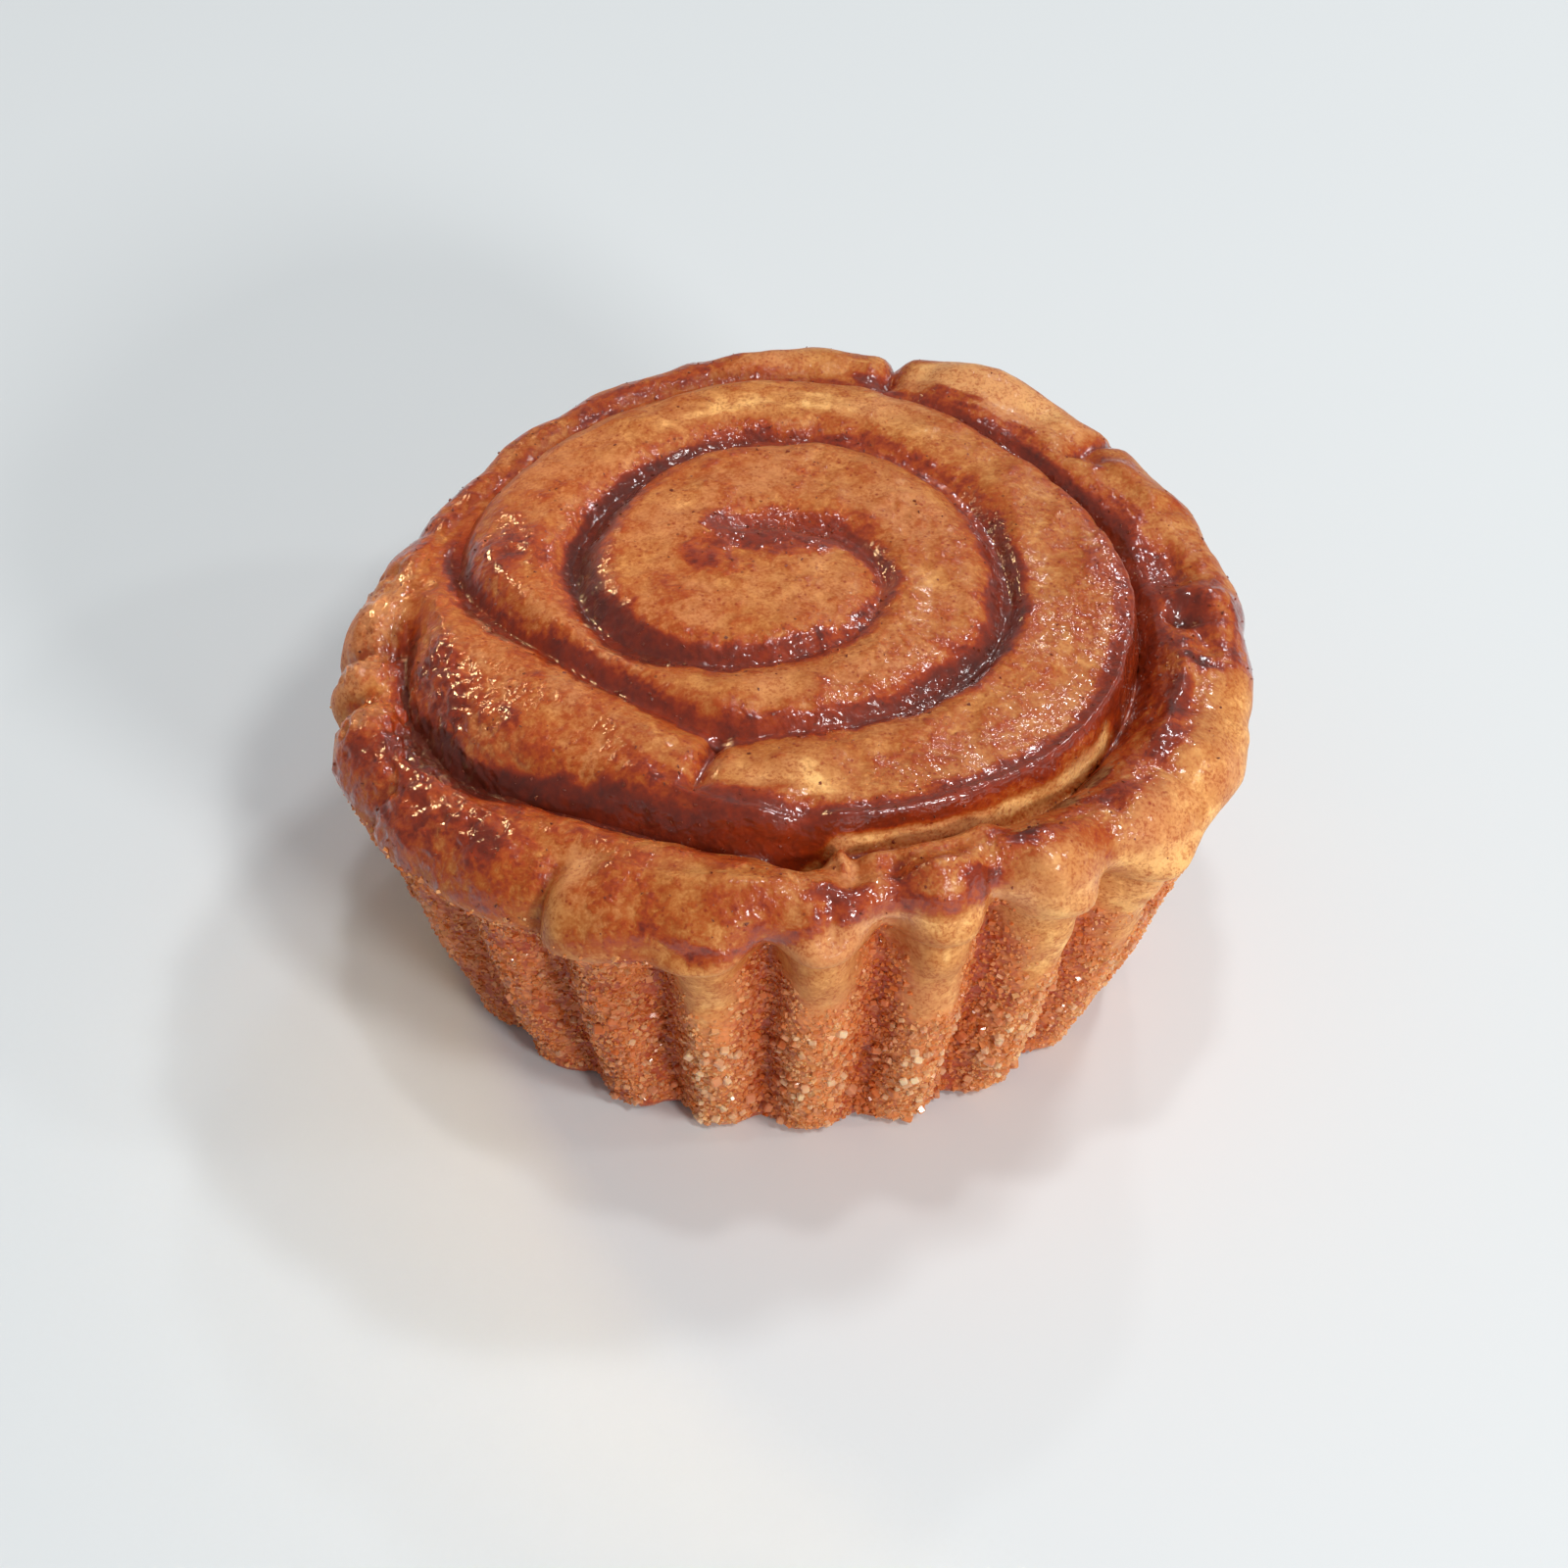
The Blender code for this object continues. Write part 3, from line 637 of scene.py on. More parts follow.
def fold_rise(r, angle):
    """The outer layer's end stands out of the front of the lip."""
    return FOLD_RISE * between(angle, 238.5, 243, 262, 288) * smooth(r, FOLD_RADIUS, LIP_RADIUS)


def pillar_rise(z, angle):
    """How far the ridges stand out just under the front of the lip."""
    where = between(z, 25, 32, 36, 38.5) * sector(angle, 256, 322, 8)
    return PILLAR_RISE * (1 - flute_valley(angle)) * where


def shape_dough(r, z, angle):
    """Move the turned outline's points to the bun's real surface, and keep what colours it."""
    on_top = smooth(z, 35.5, 38)
    core_z = around(LIP_HEIGHTS, angle) - CORE_DROP
    flutes = flute_depth(r, z, angle)
    fold = fold_rise(r, angle) * smooth(z, *FLUTE_FADE)
    pillars = pillar_rise(z, angle) * smooth(r, BASE_RADIUS, RIM_RADIUS)
    r, z = lean_and_swell(r, z, angle)
    r = r - flutes + fold + pillars
    laps = seam_laps(r, angle)
    rise = on_top * (knob_rise(r, angle) + ridge_rise(r, angle) - crease_depth(r, angle))
    outward = np.maximum(r - RIM_RADIUS, 0)
    upward = np.maximum(z - core_z, CORE_LEAST)
    reach = np.hypot(outward, upward)
    drop = on_top * (groove_depth(laps) - edge_bead(laps))
    push = on_top * edge_overhang(laps)
    return r + rise * outward / reach + push, z + rise * upward / reach - drop, laps, on_top


def add_object(name, data):
    item = bpy.data.objects.new(name, data)
    bpy.context.scene.collection.objects.link(item)
    return item


def add_mesh(name, points, faces, edges=()):
    mesh = bpy.data.meshes.new(name)
    mesh.from_pydata((np.asarray(points, float) * MM).tolist(), edges, faces)
    return add_object(name, mesh)


def apply_modifiers(item):
    """Replace an object's mesh with what its modifiers make of it."""
    graph = bpy.context.evaluated_depsgraph_get()
    mesh = bpy.data.meshes.new_from_object(item.evaluated_get(graph))
    item.modifiers.clear()
    item.data = mesh


def read_vectors(items, name):
    values = np.empty(len(items) * 3)
    items.foreach_get(name, values)
    return values.reshape(-1, 3)


def read_points(mesh):
    return read_vectors(mesh.vertices, "co") / MM


def write_points(mesh, points):
    mesh.vertices.foreach_set("co", (points * MM).ravel())
    mesh.update()


def store(mesh, **masks):
    """Keep numbers from 0 to 1 for each vertex, for the material to read."""
    for name, values in masks.items():
        layer = mesh.attributes.new(name, "FLOAT", "POINT")
        layer.data.foreach_set("value", np.clip(values, 0, 1).astype(np.float32))


def recall(mesh, name):
    """Read back one stored number for each vertex."""
    values = np.empty(len(mesh.vertices), np.float32)
    mesh.attributes[name].data.foreach_get("value", values)
    return values


def sugar_cover(z, angle, on_top, valley, patch):
    """Where sugar coats the side: all of its foot, and the valleys up to the lip."""
    climb = SUGAR_CLIMB - CLIMB_LESS * sector(angle, 310, 345, 6)
    edge = SUGAR_EDGE + SUGAR_WANDER * patch + climb * valley
    edge += LEFT_RISE * sector(angle, 160, 250, 6)
    return (1 - smooth(z, edge + SUGAR_FADE[0], edge + SUGAR_FADE[1])) * (1 - on_top)


def streaks(r, angle, z):
    """Noise drawn out along the coils, about -1 to 1, calm in the middle of the top."""
    places = np.column_stack((*to_xy(STREAK_LENGTH, angle), r / STREAK_WIDTH))
    return bumps(places + (0, 0, STREAK_CLIMB) * z[:, None], 1, 4, 3) * smooth(r, 2, 9)


def spot(r, angle, place, patch, streak):
    """1 in the middle of an oval place on the top, fading out beyond its ragged edge."""
    middle, radius, length, width = place
    along = r * np.radians(away_from(angle, middle)) + SPOT_RAGGED[0] * patch
    across = r - radius + SPOT_RAGGED[1] * streak
    return np.exp(-(along / length) ** 2 - (across / width) ** 2)


def spread_syrup(r, angle, laps, patch, streak):
    """The syrup on the top: a thin coat with thicker places, the groove's stain and the creases."""
    syrup = SYRUP_BASE + SYRUP_STREAK * streak + SYRUP_PATCH * patch
    for angles, radii, amount in SYRUP_ZONES:
        syrup += amount * sector(angle, *angles) * between(r, *radii)
    beside = between(laps[SEAM_LAPS - 1][1], 0, 2, 4, 9)
    syrup += BESIDE_SYRUP * beside * (1 - sector(angle, 35, 74, 6))
    for *place, change in PATCHES:
        syrup += change * smooth(spot(r, angle, place, patch, streak), 0.22, 0.72)
    ragged = STAIN_RAGGED[0] * patch + STAIN_RAGGED[1] * streak
    syrup = np.maximum(syrup, groove_syrup([(turn, offset + ragged) for turn, offset in laps]))
    for crease in CREASES[:SYRUP_CREASES]:
        syrup = np.maximum(syrup, CREASE_SYRUP * np.sqrt(crease_shape(r, angle, crease)))
    return syrup


def edge_syrup(syrup, angle, lap, patch, streak):
    """Add the red band along the disc's edge, and bare the wall under it, paler partly as painted light
    against the overhang's shade.
    """
    turn, offset = lap
    bank = seam_values(turn)[2]
    width, amount = read_table(turn, EDGE_BAND)
    band = between(BAND_RAGGED * streak - offset, BAND_START[0] * bank, BAND_START[1] * bank,
                   bank + BAND_END[0] * width, bank + BAND_END[1] * width)
    syrup = np.maximum(syrup, amount * band)
    # The wall under the disc's edge: bare dough, made paler as painted light
    wall = between(-offset, 0, WALL_FOOT, WALL_TOP[0] * bank, WALL_TOP[1] * bank)
    return syrup + wall * sector(angle, 279, 333, 5) * (WALL_SYRUP_AND_PAINTED_LIGHT + WALL_PATCH * patch - syrup)


def lip_syrup(syrup, r, z, angle, patch):
    """Draw the syrup's lower edge under the front lip, clear the dough below it, and coat the left lip."""
    line_height, = read_table(angle, RED_LINE)
    above = z - line_height - LINE_RAGGED * patch
    edge = (1 - smooth(np.abs(above), 0.5, 1.8)) * smooth(r, 45, 46.5)
    syrup = np.maximum(syrup, LINE_SYRUP * edge * sector(angle, 254, 298, 5))
    syrup *= 1 - UNDER_LESS * smooth(-above, 1, 2) * sector(angle, 260, 345, 8)
    lip = around(LIP_HEIGHTS, angle) + patch
    low = 1 - smooth(z, lip + LEFT_LIP_HEIGHTS[0], lip + LEFT_LIP_HEIGHTS[1])
    return np.maximum(syrup, LEFT_LIP_SYRUP * low * sector(angle, 190, 240, 6))


def pale_places(r, angle, patch):
    """1 where the syrup is palest: the left knobs, the right lip and the edge of the front fold."""
    fold_edge = np.exp(-(away_from(angle, FOLD_EDGE_ANGLE) / FOLD_EDGE_WIDTH) ** 2)
    places = [FOLD_EDGE_PALE * fold_edge * smooth(r, 44, 46)]
    for angles, radii, share, by_patch in PALE_ZONES:
        places.append(smooth(r, *radii) * sector(angle, *angles) * (share + by_patch * patch))
    return np.clip(np.maximum.reduce(places), 0, 1)


def syrup_on(z, r, angle, laps, on_top, valley, patch):
    """How thick the syrup lies, from 0 on bare dough to 1 in the deepest groove. It also carries partly
    painted shade in the side's valleys, painted light on the wall under the disc's edge and a painted sheen
    on the back crown.
    """
    streak = streaks(r, angle, z)
    syrup = spread_syrup(r, angle, laps, patch, streak)
    syrup = edge_syrup(syrup, angle, laps[SEAM_LAPS - 1], patch, streak)
    syrup = lip_syrup(syrup, r, z, angle, patch)
    syrup *= 1 - PALER_BY * pale_places(r, angle, patch)
    bulge = sector(angle, 303, 336, 6) * smooth(z, 25, 29)
    bare = SIDE_SYRUP + SIDE_PATCH * patch - BULGE_PALER * bulge
    # Darker in the flute valleys: partly painted shade
    bare += SIDE_VALLEY * valley * (1 - BULGE_SMOOTHER * bulge)
    return syrup * on_top + bare * (1 - on_top)


def dough_masks(mesh, points, laps, on_top, valley):
    """Store what lies where on the dough, from 0 to 1, for the material and the grains."""
    x, y, z = points.T
    r = np.hypot(x, y)
    angle = angle_of(x, y)
    patch = bumps(points, 6, 3, 3)
    syrup = syrup_on(z, r, angle, laps, on_top, valley, patch)
    sugar = sugar_cover(z, angle, on_top, valley, patch)

    streak = bumps(points, 3, 12, 2)
    clusters = [strength * smooth(spot(r, angle, place, patch, streak), 0.10, 0.60)
                for *place, strength in BLISTERS]
    dark = smooth(syrup, 0.45, 0.8) * (1 - CALM_BACK * sector(angle, 30, 145, 20))
    wrinkle = np.maximum.reduce(clusters + [DARK_WRINKLE * dark]) * on_top
    near_floor = np.maximum.reduce([np.exp(-(offset / DULL_WIDTH) ** 2) for _, offset in laps])
    dull = near_floor * sector(angle, 150, 232, 14) * smooth(r, 26, 30)
    # Darker, redder sugar and crust: in the flute valleys partly cinnamon and partly painted shade, on the
    # left side painted shade
    valley_and_left_shade = np.maximum(valley, LEFT_SHADE * sector(angle, 180, 246, 8)) * (1 - on_top)
    store(mesh, syrup=syrup, sugar=sugar, wet=on_top * (1 - DULL * dull), wrinkle=wrinkle, valley=valley_and_left_shade)
    return sugar, wrinkle


def follow_groove(r, z, angle):
    """Slide the top's rings along the outline, so that they run along the outer groove."""
    turn = np.mod(SEAM_START - angle, 360) + 360 * (SEAM_LAPS - 1)
    away = np.clip(seam_values(turn)[0] - FOLLOW_RADIUS, -FOLLOW_MOST, FOLLOW_MOST)
    share, = read_table(r, FOLLOW)
    on_top = (z > LIP_HEIGHT) & (r < FOLLOW_UNTIL)
    slid = r + np.where(on_top, away * smooth(turn, 770, 820) * share, 0)
    return slid, np.where(on_top, np.interp(slid, *top_profile()), z)


def fine_relief(points, r, angle, on_top, sugar, wrinkle):
    """Height of the lumps, dimples, wrinkles and crust above the dough's surface."""
    lumps = LUMP_HEIGHT * bumps(points, 9, 5, 2)
    dimples = DIMPLE_HEIGHT * on_top * bumps(points, 3, 6, 2)
    where = sum(share * smooth(r, start, full) for start, full, share in WRINKLED_RADII)
    creased = wrinkle * sector(angle, 168, 226, 14) * where
    folds = WRINKLE_HEIGHT * creased * (0.5 - 2 * np.abs(bumps(points, 2, 8, 2)))
    grains = CRUST_HEIGHT * sugar * (0.4 + bumps(points, 1.2, 11, 2))
    return lumps + dimples + folds + grains


def make_dough():
    """The whole surface of the bun, finely divided."""
    points = [(r, 0, z) for r, z in outline()]
    dough = add_mesh("bun_dough", points, [], [(i, i + 1) for i in range(len(points) - 1)])
    screw = dough.modifiers.new("turn", "SCREW")
    screw.steps = FLUTES * STEPS_PER_FLUTE
    screw.render_steps = screw.steps
    screw.use_merge_vertices = True
    screw.merge_threshold = TURN_MERGE * MM
    apply_modifiers(dough)
    mesh = dough.data

    x, y, z = read_points(mesh).T
    angle = angle_of(x, y)
    r, z = follow_groove(np.hypot(x, y), z, angle)
    r, z, laps, on_top = shape_dough(r, z, angle)
    shaped = np.column_stack((*to_xy(r, angle), z))
    write_points(mesh, shaped)
    sugar, wrinkle = dough_masks(mesh, shaped, laps, on_top, flute_valley(angle))
    relief = fine_relief(shaped, r, angle, on_top, sugar, wrinkle) * smooth(z, 0, 1.5)
    write_points(mesh, shaped + read_vectors(mesh.vertex_normals, "vector") * relief[:, None])
    mesh.shade_smooth()
    return dough


def groove_floor(turns):
    """Height of the groove's floor at each turn."""
    turned_r = seam_values(turns)[0][:, None] + np.linspace(-SEARCH_REACH, SEARCH_REACH, SEARCH_STEPS)
    turned_z = np.interp(turned_r, *top_profile())
    angle = np.broadcast_to((SEAM_START - turns)[:, None], turned_r.shape)
    heights, laps = shape_dough(turned_r, turned_z, angle)[1:3]
    offsets = np.min([np.abs(offset) for _, offset in laps], axis=0)
    return heights[np.arange(len(turns)), np.argmin(offsets, axis=1)]


def filling_tops(turns, middle):
    """Height of the filling's top at each turn, sunk under the groove's floor where there is little of it."""
    wave = 1 + FILLING_WAVE * bumps(middle, 2.6, 21, 2)
    full = between(turns, 8, 40, SEAM_END - FILLING_RUN_OUT, SEAM_END)
    for thin_turns in THIN_TURNS:
        full *= 1 - THINNER * between(turns, *thin_turns)
    level = FILLING_LEVEL * seam_values(turns)[1] * wave * full
    return groove_floor(turns) + level - FILLING_SINK * (1 - full)


def make_filling():
    """The filling as a swept ribbon whose top lies in the groove."""
    turns = np.linspace(0, SEAM_END, int(SEAM_END / FILLING_STEP) + 1)
    radius = seam_values(turns)[0]
    flat = np.zeros_like(turns)
    middle = np.column_stack((*to_xy(radius, SEAM_START - turns), flat))
    along = np.gradient(middle, axis=0)
    outward = np.column_stack((-along[:, 1], along[:, 0], flat))
    outward /= np.linalg.norm(outward, axis=1)[:, None]
    outward *= np.sign(np.sum(outward * middle, axis=1))[:, None]
    across, down = np.array(FILLING_SECTION).T
    tops = filling_tops(turns, middle)[:, None]
    heights = np.maximum(FILLING_BOTTOM, tops + down)
    shares = 1 - (1 - BOTTOM_SHARE) * (tops - heights) / (tops - FILLING_BOTTOM)
    points = middle[:, None] * shares[:, :, None] + outward[:, None] * across[:, None]
    points[:, :, 2] = heights

    count = len(FILLING_SECTION)
    last_row = (len(turns) - 1) * count
    faces = []
    for row in range(0, last_row, count):
        for corner in range(count):
            following = (corner + 1) % count
            faces.append((row + corner, row + following, row + count + following, row + count + corner))
    faces.append(range(count - 1, -1, -1))
    faces.append(range(last_row, last_row + count))
    filling = add_mesh("bun_filling", points.reshape(-1, 3), faces)
    filling.data.shade_smooth()
    syrup = np.repeat(read_table(turns, STAIN)[0], count)
    wet = np.repeat(1 - DULL * sector(SEAM_START - turns, 150, 228, 14), count)
    bare = np.zeros_like(syrup)
    store(filling.data, syrup=syrup, sugar=bare, wet=wet, wrinkle=FILLING_WRINKLE * syrup, valley=bare)
    return filling


def triangle_places(mesh, weights, count, generator):
    """Random places on a mesh, more of them where its vertices' weights are higher."""
    mesh.calc_loop_triangles()
    corners = np.empty(len(mesh.loop_triangles) * 3, np.int64)
    mesh.loop_triangles.foreach_get("vertices", corners)
    corners = corners.reshape(-1, 3)
    points = read_points(mesh)
    a, b, c = (points[corners[:, i]] for i in range(3))
    cross = np.cross(b - a, c - a)
    area = np.linalg.norm(cross, axis=1)
    chance = area * weights[corners].mean(axis=1)
    picked = generator.choice(len(corners), count, p=chance / chance.sum())
    u, v = generator.random((2, count, 1))
    flip = (u + v) > 1
    u, v = np.where(flip, 1 - u, u), np.where(flip, 1 - v, v)
    places = a[picked] + (b - a)[picked] * u + (c - a)[picked] * v
    return places, cross[picked] / area[picked][:, None], corners[picked, 0]


def random_turns(generator, count):
    """Random rotation matrices, from random quaternions."""
    return np.array([Quaternion(q).normalized().to_matrix() for q in generator.normal(size=(count, 4))])


def grain_template(bevel):
    """Corners and faces of one crystal, a unit cube with its edges cut off by the bevel."""
    mesh = bpy.data.meshes.new("crystal")
    shape = bmesh.new()
    bmesh.ops.create_cube(shape, size=1)
    if bevel:
        bmesh.ops.bevel(shape, geom=shape.edges[:], offset=bevel, segments=1, affect="EDGES")
    bmesh.ops.triangulate(shape, faces=shape.faces[:])
    shape.to_mesh(mesh)
    shape.free()
    corners = read_vectors(mesh.vertices, "co")
    faces = [tuple(face.vertices) for face in mesh.polygons]
    bpy.data.meshes.remove(mesh)
    return corners, np.array(faces)


def scatter(name, mesh, weights):
    """One kind of crystal or flake, joined into one piece, partly sunk in the surface under it."""
    count, smallest, largest, bevel, flatness, lift, seed = GRAINS[name]
    generator = np.random.default_rng(seed)
    corners, faces = grain_template(bevel)
    places, normals, vertices = triangle_places(mesh, weights, count, generator)
    sizes = smallest + (largest - smallest) * generator.random((count, 1)) ** 2
    sides = sizes * generator.uniform(0.65, 1.15, (count, 3))
    sides[:, 2] *= flatness
    turned = np.einsum("nij,nkj->nki", random_turns(generator, count), corners[None] * sides[:, None])
    points = turned + (places + normals * sizes * lift)[:, None]
    numbered = faces[None] + (np.arange(count) * len(corners))[:, None, None]
    item = add_mesh(name, points.reshape(-1, 3), numbered.reshape(-1, 3).tolist())
    store(item.data, valley=np.repeat(recall(mesh, "valley")[vertices], len(corners)),
          tone=np.repeat(generator.random(count), len(corners)))
    return item


class Graph:
    """A material's nodes, added from the shader backwards with short calls."""

    def __init__(self, name):
        self.material = bpy.data.materials.new(name)
        self.material.use_nodes = True
        self.nodes = self.material.node_tree.nodes
        self.links = self.material.node_tree.links
        self.shader = self.nodes["Principled BSDF"]
        self.place = self.nodes.new("ShaderNodeTexCoord").outputs["Object"]

    def fill(self, node, values):
        for socket, value in values:
            if isinstance(value, bpy.types.NodeSocket):
                self.links.new(value, node.inputs[socket])
            else:
                node.inputs[socket].default_value = value

    def add(self, kind, values=(), **settings):
        node = self.nodes.new(kind)
        for setting, value in settings.items():
            setattr(node, setting, value)
        self.fill(node, values)
        return node

    def noise(self, size, detail=2, roughness=0.5, distortion=0):
        values = (("Vector", self.place), ("Scale", 1 / (size * MM)), ("Detail", detail),
                  ("Roughness", roughness), ("Distortion", distortion))
        return self.add("ShaderNodeTexNoise", values).outputs["Fac"]

    def cells(self, size, output="Distance"):
        values = (("Vector", self.place), ("Scale", 1 / (size * MM)))
        return self.add("ShaderNodeTexVoronoi", values).outputs[output]

    def red(self, colour):
        return self.add("ShaderNodeSeparateColor", (("Color", colour),)).outputs["Red"]

    def attribute(self, name):
        return self.add("ShaderNodeAttribute", attribute_name=name).outputs["Fac"]

    def ramp(self, value, low, high, start=0, end=1):
        """From start to end, smoothly, as the value goes from low to high."""
        values = (("Value", value), ("From Min", low), ("From Max", high), ("To Min", start), ("To Max", end))
        return self.add("ShaderNodeMapRange", values, interpolation_type="SMOOTHSTEP").outputs["Result"]

    def maths(self, operation, first, *others, clamp=False):
        """One node after another, over all the values."""
        for other in others:
            node = self.add("ShaderNodeMath", ((0, first), (1, other)), operation=operation, use_clamp=clamp)
            first = node.outputs[0]
        return first

    def plus(self, *values):
        return self.maths("ADD", *values)

    def times(self, *values):
        return self.maths("MULTIPLY", *values)

    def mix(self, factor, a, b):
        colours = [(*c, 1) if isinstance(c, tuple) else c for c in (a, b)]
        values = ((0, factor), (6, colours[0]), (7, colours[1]))
        return self.add("ShaderNodeMix", values, data_type="RGBA").outputs[2]

    def colours(self, value, stops):
        node = self.add("ShaderNodeValToRGB", (("Fac", value),))
        elements = node.color_ramp.elements
        elements[0].position, elements[1].position = stops[0][0], stops[-1][0]
        for place, _ in stops[1:-1]:
            elements.new(place)
        for element, (_, colour) in zip(elements, stops):
            element.color = (*colour, 1)
        return node.outputs["Color"]

    def bump(self, height, distance, normal=None):
        values = [("Height", height), ("Distance", distance * MM), ("Strength", 1)]
        if normal:
            values.append(("Normal", normal))
        return self.add("ShaderNodeBump", values).outputs["Normal"]

    def shade(self, **values):
        """Link or set the shader's inputs, and give back the material."""
        self.fill(self.shader, [(name.replace("_", " "), value) for name, value in values.items()])
        return self.material


def dough_colour(g, thick, wet, mottle, grain):
    """Dough under its syrup, with pink places, brown and pale grain, freckles and speckles."""
    dough = g.colours(thick, SYRUP_COLOURS)
    pink = g.times(g.ramp(g.noise(16, 3), 0.42, 0.62), g.ramp(thick, 0.45, 0.15, 0, 0.62))
    dough = g.mix(pink, dough, DOUGH_PINK)
    brown = g.times(g.ramp(grain, 0.44, 0.64, 0, 0.6), g.ramp(mottle, 0.36, 0.6, 0.35, 1),
                    g.ramp(thick, 0.5, 0.7, 1, 0))
    dough = g.mix(brown, dough, GRAINY_BROWN)
    pale = g.times(g.ramp(grain, 0.3, 0.44, 0.3, 0), g.ramp(thick, 0.35, 0.55, 1, 0))
    dough = g.mix(pale, dough, DOUGH_PALE)

    where = g.times(g.ramp(mottle, 0.38, 0.58, 0.18, 1), wet,
                    g.ramp(thick, 0.55, 0.75, 1, 0.15), g.ramp(thick, 0.08, 0.26, 0.15, 1))
    freckle = g.ramp(g.cells(0.9), 0.12, 0.3, 0.85, 0)
    dough = g.mix(g.times(freckle, where), dough, FRECKLE)
    speckle = g.ramp(g.cells(2.6), 0.05, 0.1, 0.75, 0)
    return g.mix(g.times(speckle, where), dough, SPECK_BROWN)


def crust_colour(g, blotch, crystals, valley):
    """The side's sugar crust, darker in the valleys and on the left side, its tone different from crystal to
    crystal. The valleys' darkening is partly cinnamon and partly painted shade; the left side's is painted
    shade.
    """
    darker = g.plus(g.ramp(blotch, 0.35, 0.7, -0.05, 0.35), g.times(valley, 0.62),
                    g.ramp(g.red(g.cells(CRYSTAL_SIZE, "Color")), 0, 1, -0.14, 0.18),
                    g.ramp(crystals, 0.25, 0.65, -0.05, 0.16))
    return g.mix(g.ramp(darker, 0, 1), CRUST_LIGHT, CRUST_DARK)


def glaze_bumps(g, thick, wet, wrinkle, sugar, grain, crystals):
    """Skin, granules, ripples and blisters, and the crust's crystals. Blisters calm the fine bumps."""
    calm = g.ramp(wrinkle, 0.15, 0.7, 1, 0.25)
    skin = g.bump(g.times(grain, calm), 0.04)
    granules = g.maths("SUBTRACT", 0.6, g.cells(0.8), clamp=True)
    granules = g.times(granules, calm, g.ramp(thick, 0.25, 0.7, 0.6, 1.6), wet)
    grained = g.bump(granules, 0.06, skin)
    ripple = g.times(g.noise(2, 1, 0.5, 0.5), g.ramp(thick, 0.15, 0.65, 0.3, 1))
    film = g.bump(ripple, 0.17, grained)
    blistered = g.bump(g.times(g.noise(1.05, 1.5, 0.5, 0.4), wrinkle), 0.2, film)
    return g.bump(g.times(crystals, sugar), 0.26, blistered)


def glazed_material(name):
    """Baked dough: darkened by its syrup on top, pale under the lip, sugared on the side."""
    g = Graph(name)
    syrup, sugar, wet = g.attribute("syrup"), g.attribute("sugar"), g.attribute("wet")
    wrinkle, valley = g.attribute("wrinkle"), g.attribute("valley")
    blotch, mottle, grain = g.noise(5, 3, 0.55, 0.3), g.noise(2, 3, 0.6, 0.5), g.noise(0.4, 2, 0.6)
    crystals = g.cells(CRYSTAL_SIZE)

    uneven = g.plus(g.ramp(blotch, 0.3, 0.7, -0.12, 0.12), g.ramp(mottle, 0.32, 0.68, -0.13, 0.13),
                    g.ramp(g.noise(0.9, 2, 0.6), 0.32, 0.68, -0.12, 0.12))
    where = g.times(g.ramp(syrup, 0.12, 0.5, 0.25, 1), g.ramp(syrup, 0.6, 0.85, 1, 0.3))
    thick = g.plus(syrup, g.times(uneven, where))
    base = g.mix(sugar, dough_colour(g, thick, wet, mottle, grain), crust_colour(g, blotch, crystals, valley))
    normal = glaze_bumps(g, thick, wet, wrinkle, sugar, grain, crystals)
    glossy = g.times(wet, g.maths("MAXIMUM", g.ramp(thick, 0.34, 0.72, 0.12, 1), wrinkle))
    coat = g.maths("MAXIMUM", glossy, g.times(sugar, 0.5))
    return g.shade(Base_Color=base, Roughness=g.ramp(thick, 0.15, 0.75, 0.5, 0.32), Specular_IOR_Level=0.18,
                   Normal=normal, Coat_Weight=coat, Coat_Roughness=0.09, Coat_IOR=1.5,
                   Coat_Normal=normal, Subsurface_Weight=0.14, Subsurface_Radius=GLOW_RADIUS,
                   Subsurface_Scale=GLOW_SCALE)


def sugar_material(name, light, roughness, clearness):
    """Sugar crystals tinted by cinnamon and butter, redder in the valleys and on the left side. The valleys'
    red is partly cinnamon and partly painted shade; the left side's is painted shade.
    """
    g = Graph(name)
    tone, valley = g.attribute("tone"), g.attribute("valley")
    base = g.mix(g.ramp(tone, 0, 1, 0, 0.9), light, CRUST_LIGHT)
    base = g.mix(g.ramp(g.noise(3, 2), 0.4, 0.65, 0, 0.45), base, SUGAR_RED)
    # Redder in the valleys and on the left side: partly cinnamon, partly painted shade
    base = g.mix(g.times(valley, 0.8), base, SUGAR_RED)
    return g.shade(Base_Color=base, Roughness=roughness, Specular_IOR_Level=0.3,
                   Transmission_Weight=clearness, IOR=1.45, Subsurface_Weight=0.3,
                   Subsurface_Radius=GLOW_RADIUS, Subsurface_Scale=GLOW_SCALE)


def speck_material():
    g = Graph("cinnamon_speck")
    base = g.mix(g.ramp(g.noise(1), 0.4, 0.6), SPECK_BROWN, SPECK_RED)
    return g.shade(Base_Color=base, Roughness=0.45)


def floor_material():
    g = Graph("pale_floor")
    base = g.mix(g.ramp(g.noise(300, 1), 0.3, 0.7, 0, 0.04), FLOOR_PALE, FLOOR_GREY)
    return g.shade(Base_Color=base, Roughness=0.6)


def dress(piece, material):
    piece.data.materials.clear()
    piece.data.materials.append(material)
    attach(piece, "root")


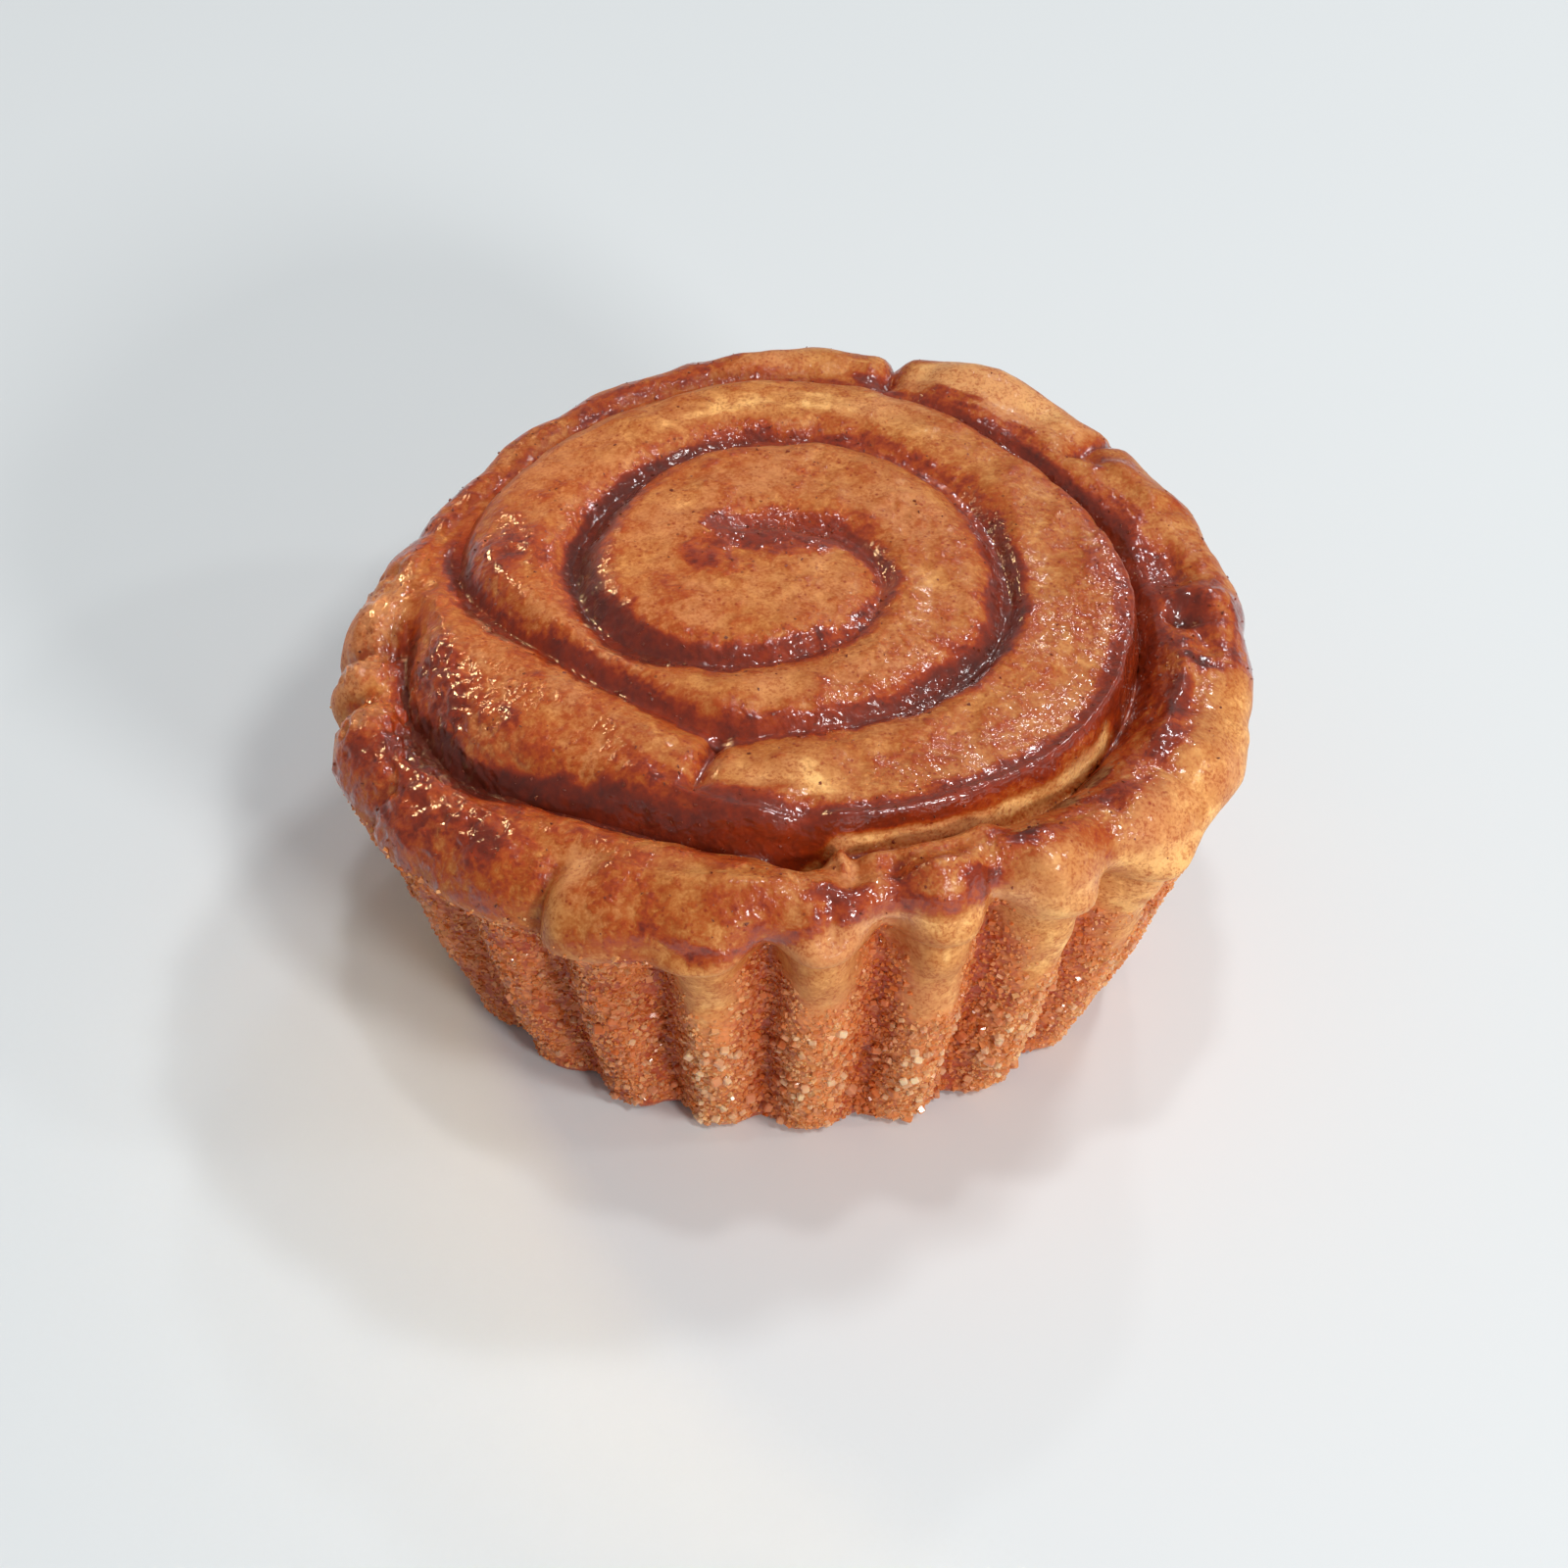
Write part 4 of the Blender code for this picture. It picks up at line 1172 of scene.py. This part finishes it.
def add_grains(mesh):
    """Sugar on the side, and specks of cinnamon where there is syrup."""
    sugar, valley, syrup, wet = (recall(mesh, name) for name in ("sugar", "valley", "syrup", "wet"))
    x, y, z = read_points(mesh).T
    above_base = smooth(z, 0.8, 2) * (1 - FEWER_IN_VALLEYS * valley)
    front = COARSE_ELSEWHERE + sector(angle_of(x, y), 262, 292, 40)
    low = 1 - smooth(z, 16, 27)
    dense = sugar ** 2 * above_base
    for name, weights in (("sugar_fine", sugar * above_base), ("sugar_medium", dense),
                          ("sugar_coarse", dense * front * low)):
        dress(scatter(name, mesh, weights), sugar_material(*SUGAR_LOOKS[name]))
    specks = scatter("cinnamon_specks", mesh, wet * (SPECKS_EVERYWHERE + syrup ** 2))
    dress(specks, speck_material())


def make_camera():
    """The photograph's view: from the front, looking down, with a small roll."""
    elevation = np.radians(CAMERA_ELEVATION)
    back = Vector((0, -np.cos(elevation), np.sin(elevation)))
    camera = add_object("camera", bpy.data.cameras.new("camera"))
    camera.data.lens = CAMERA_LENS
    camera.data.sensor_width = CAMERA_SENSOR
    camera.data.clip_start = 0.01
    aim = back.to_track_quat("Z", "Y").to_matrix().to_4x4()
    roll = Matrix.Rotation(np.radians(CAMERA_ROLL), 4, "Z")
    camera.matrix_world = Matrix.Translation(Vector(CAMERA_TARGET) + back * CAMERA_DISTANCE) @ aim @ roll
    bpy.context.scene.camera = camera


def add_lamp(name, place, size, watts, colour, aim=LAMP_AIM, spread=180):
    light = bpy.data.lights.new(name, "AREA")
    light.spread = np.radians(spread)
    light.shape = "RECTANGLE"
    light.size, light.size_y = size
    light.energy = watts
    light.color = colour
    item = add_object(name, light)
    item.location = place
    item.rotation_euler = (Vector(place) - Vector(aim)).to_track_quat("Z", "Y").to_euler()


def make_studio():
    """A pale floor, soft light from all round, and lamps for the glaze to catch."""
    bpy.ops.mesh.primitive_plane_add(size=FLOOR_SIZE, location=(0, 0, 0))
    floor = bpy.context.object
    floor.name = "floor"
    floor.data.materials.append(floor_material())
    world = bpy.data.worlds.new("studio")
    world.use_nodes = True
    sky = world.node_tree.nodes["Background"].inputs
    sky["Color"].default_value = WORLD_COLOUR
    sky["Strength"].default_value = WORLD_STRENGTH
    bpy.context.scene.world = world
    for lamp in LAMPS:
        add_lamp(*lamp)
    add_lamp(*WARM_LAMP, WARM_AIM, WARM_SPREAD)


def main():
    make_camera()
    make_studio()

    dough = make_dough()
    dress(dough, glazed_material("baked_dough"))
    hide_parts("dough")
    filling = make_filling()
    dress(filling, glazed_material("cinnamon"))
    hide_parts("cinnamon_filling")
    add_grains(dough.data)

    bpy.context.scene.view_settings.view_transform = "Standard"


main()
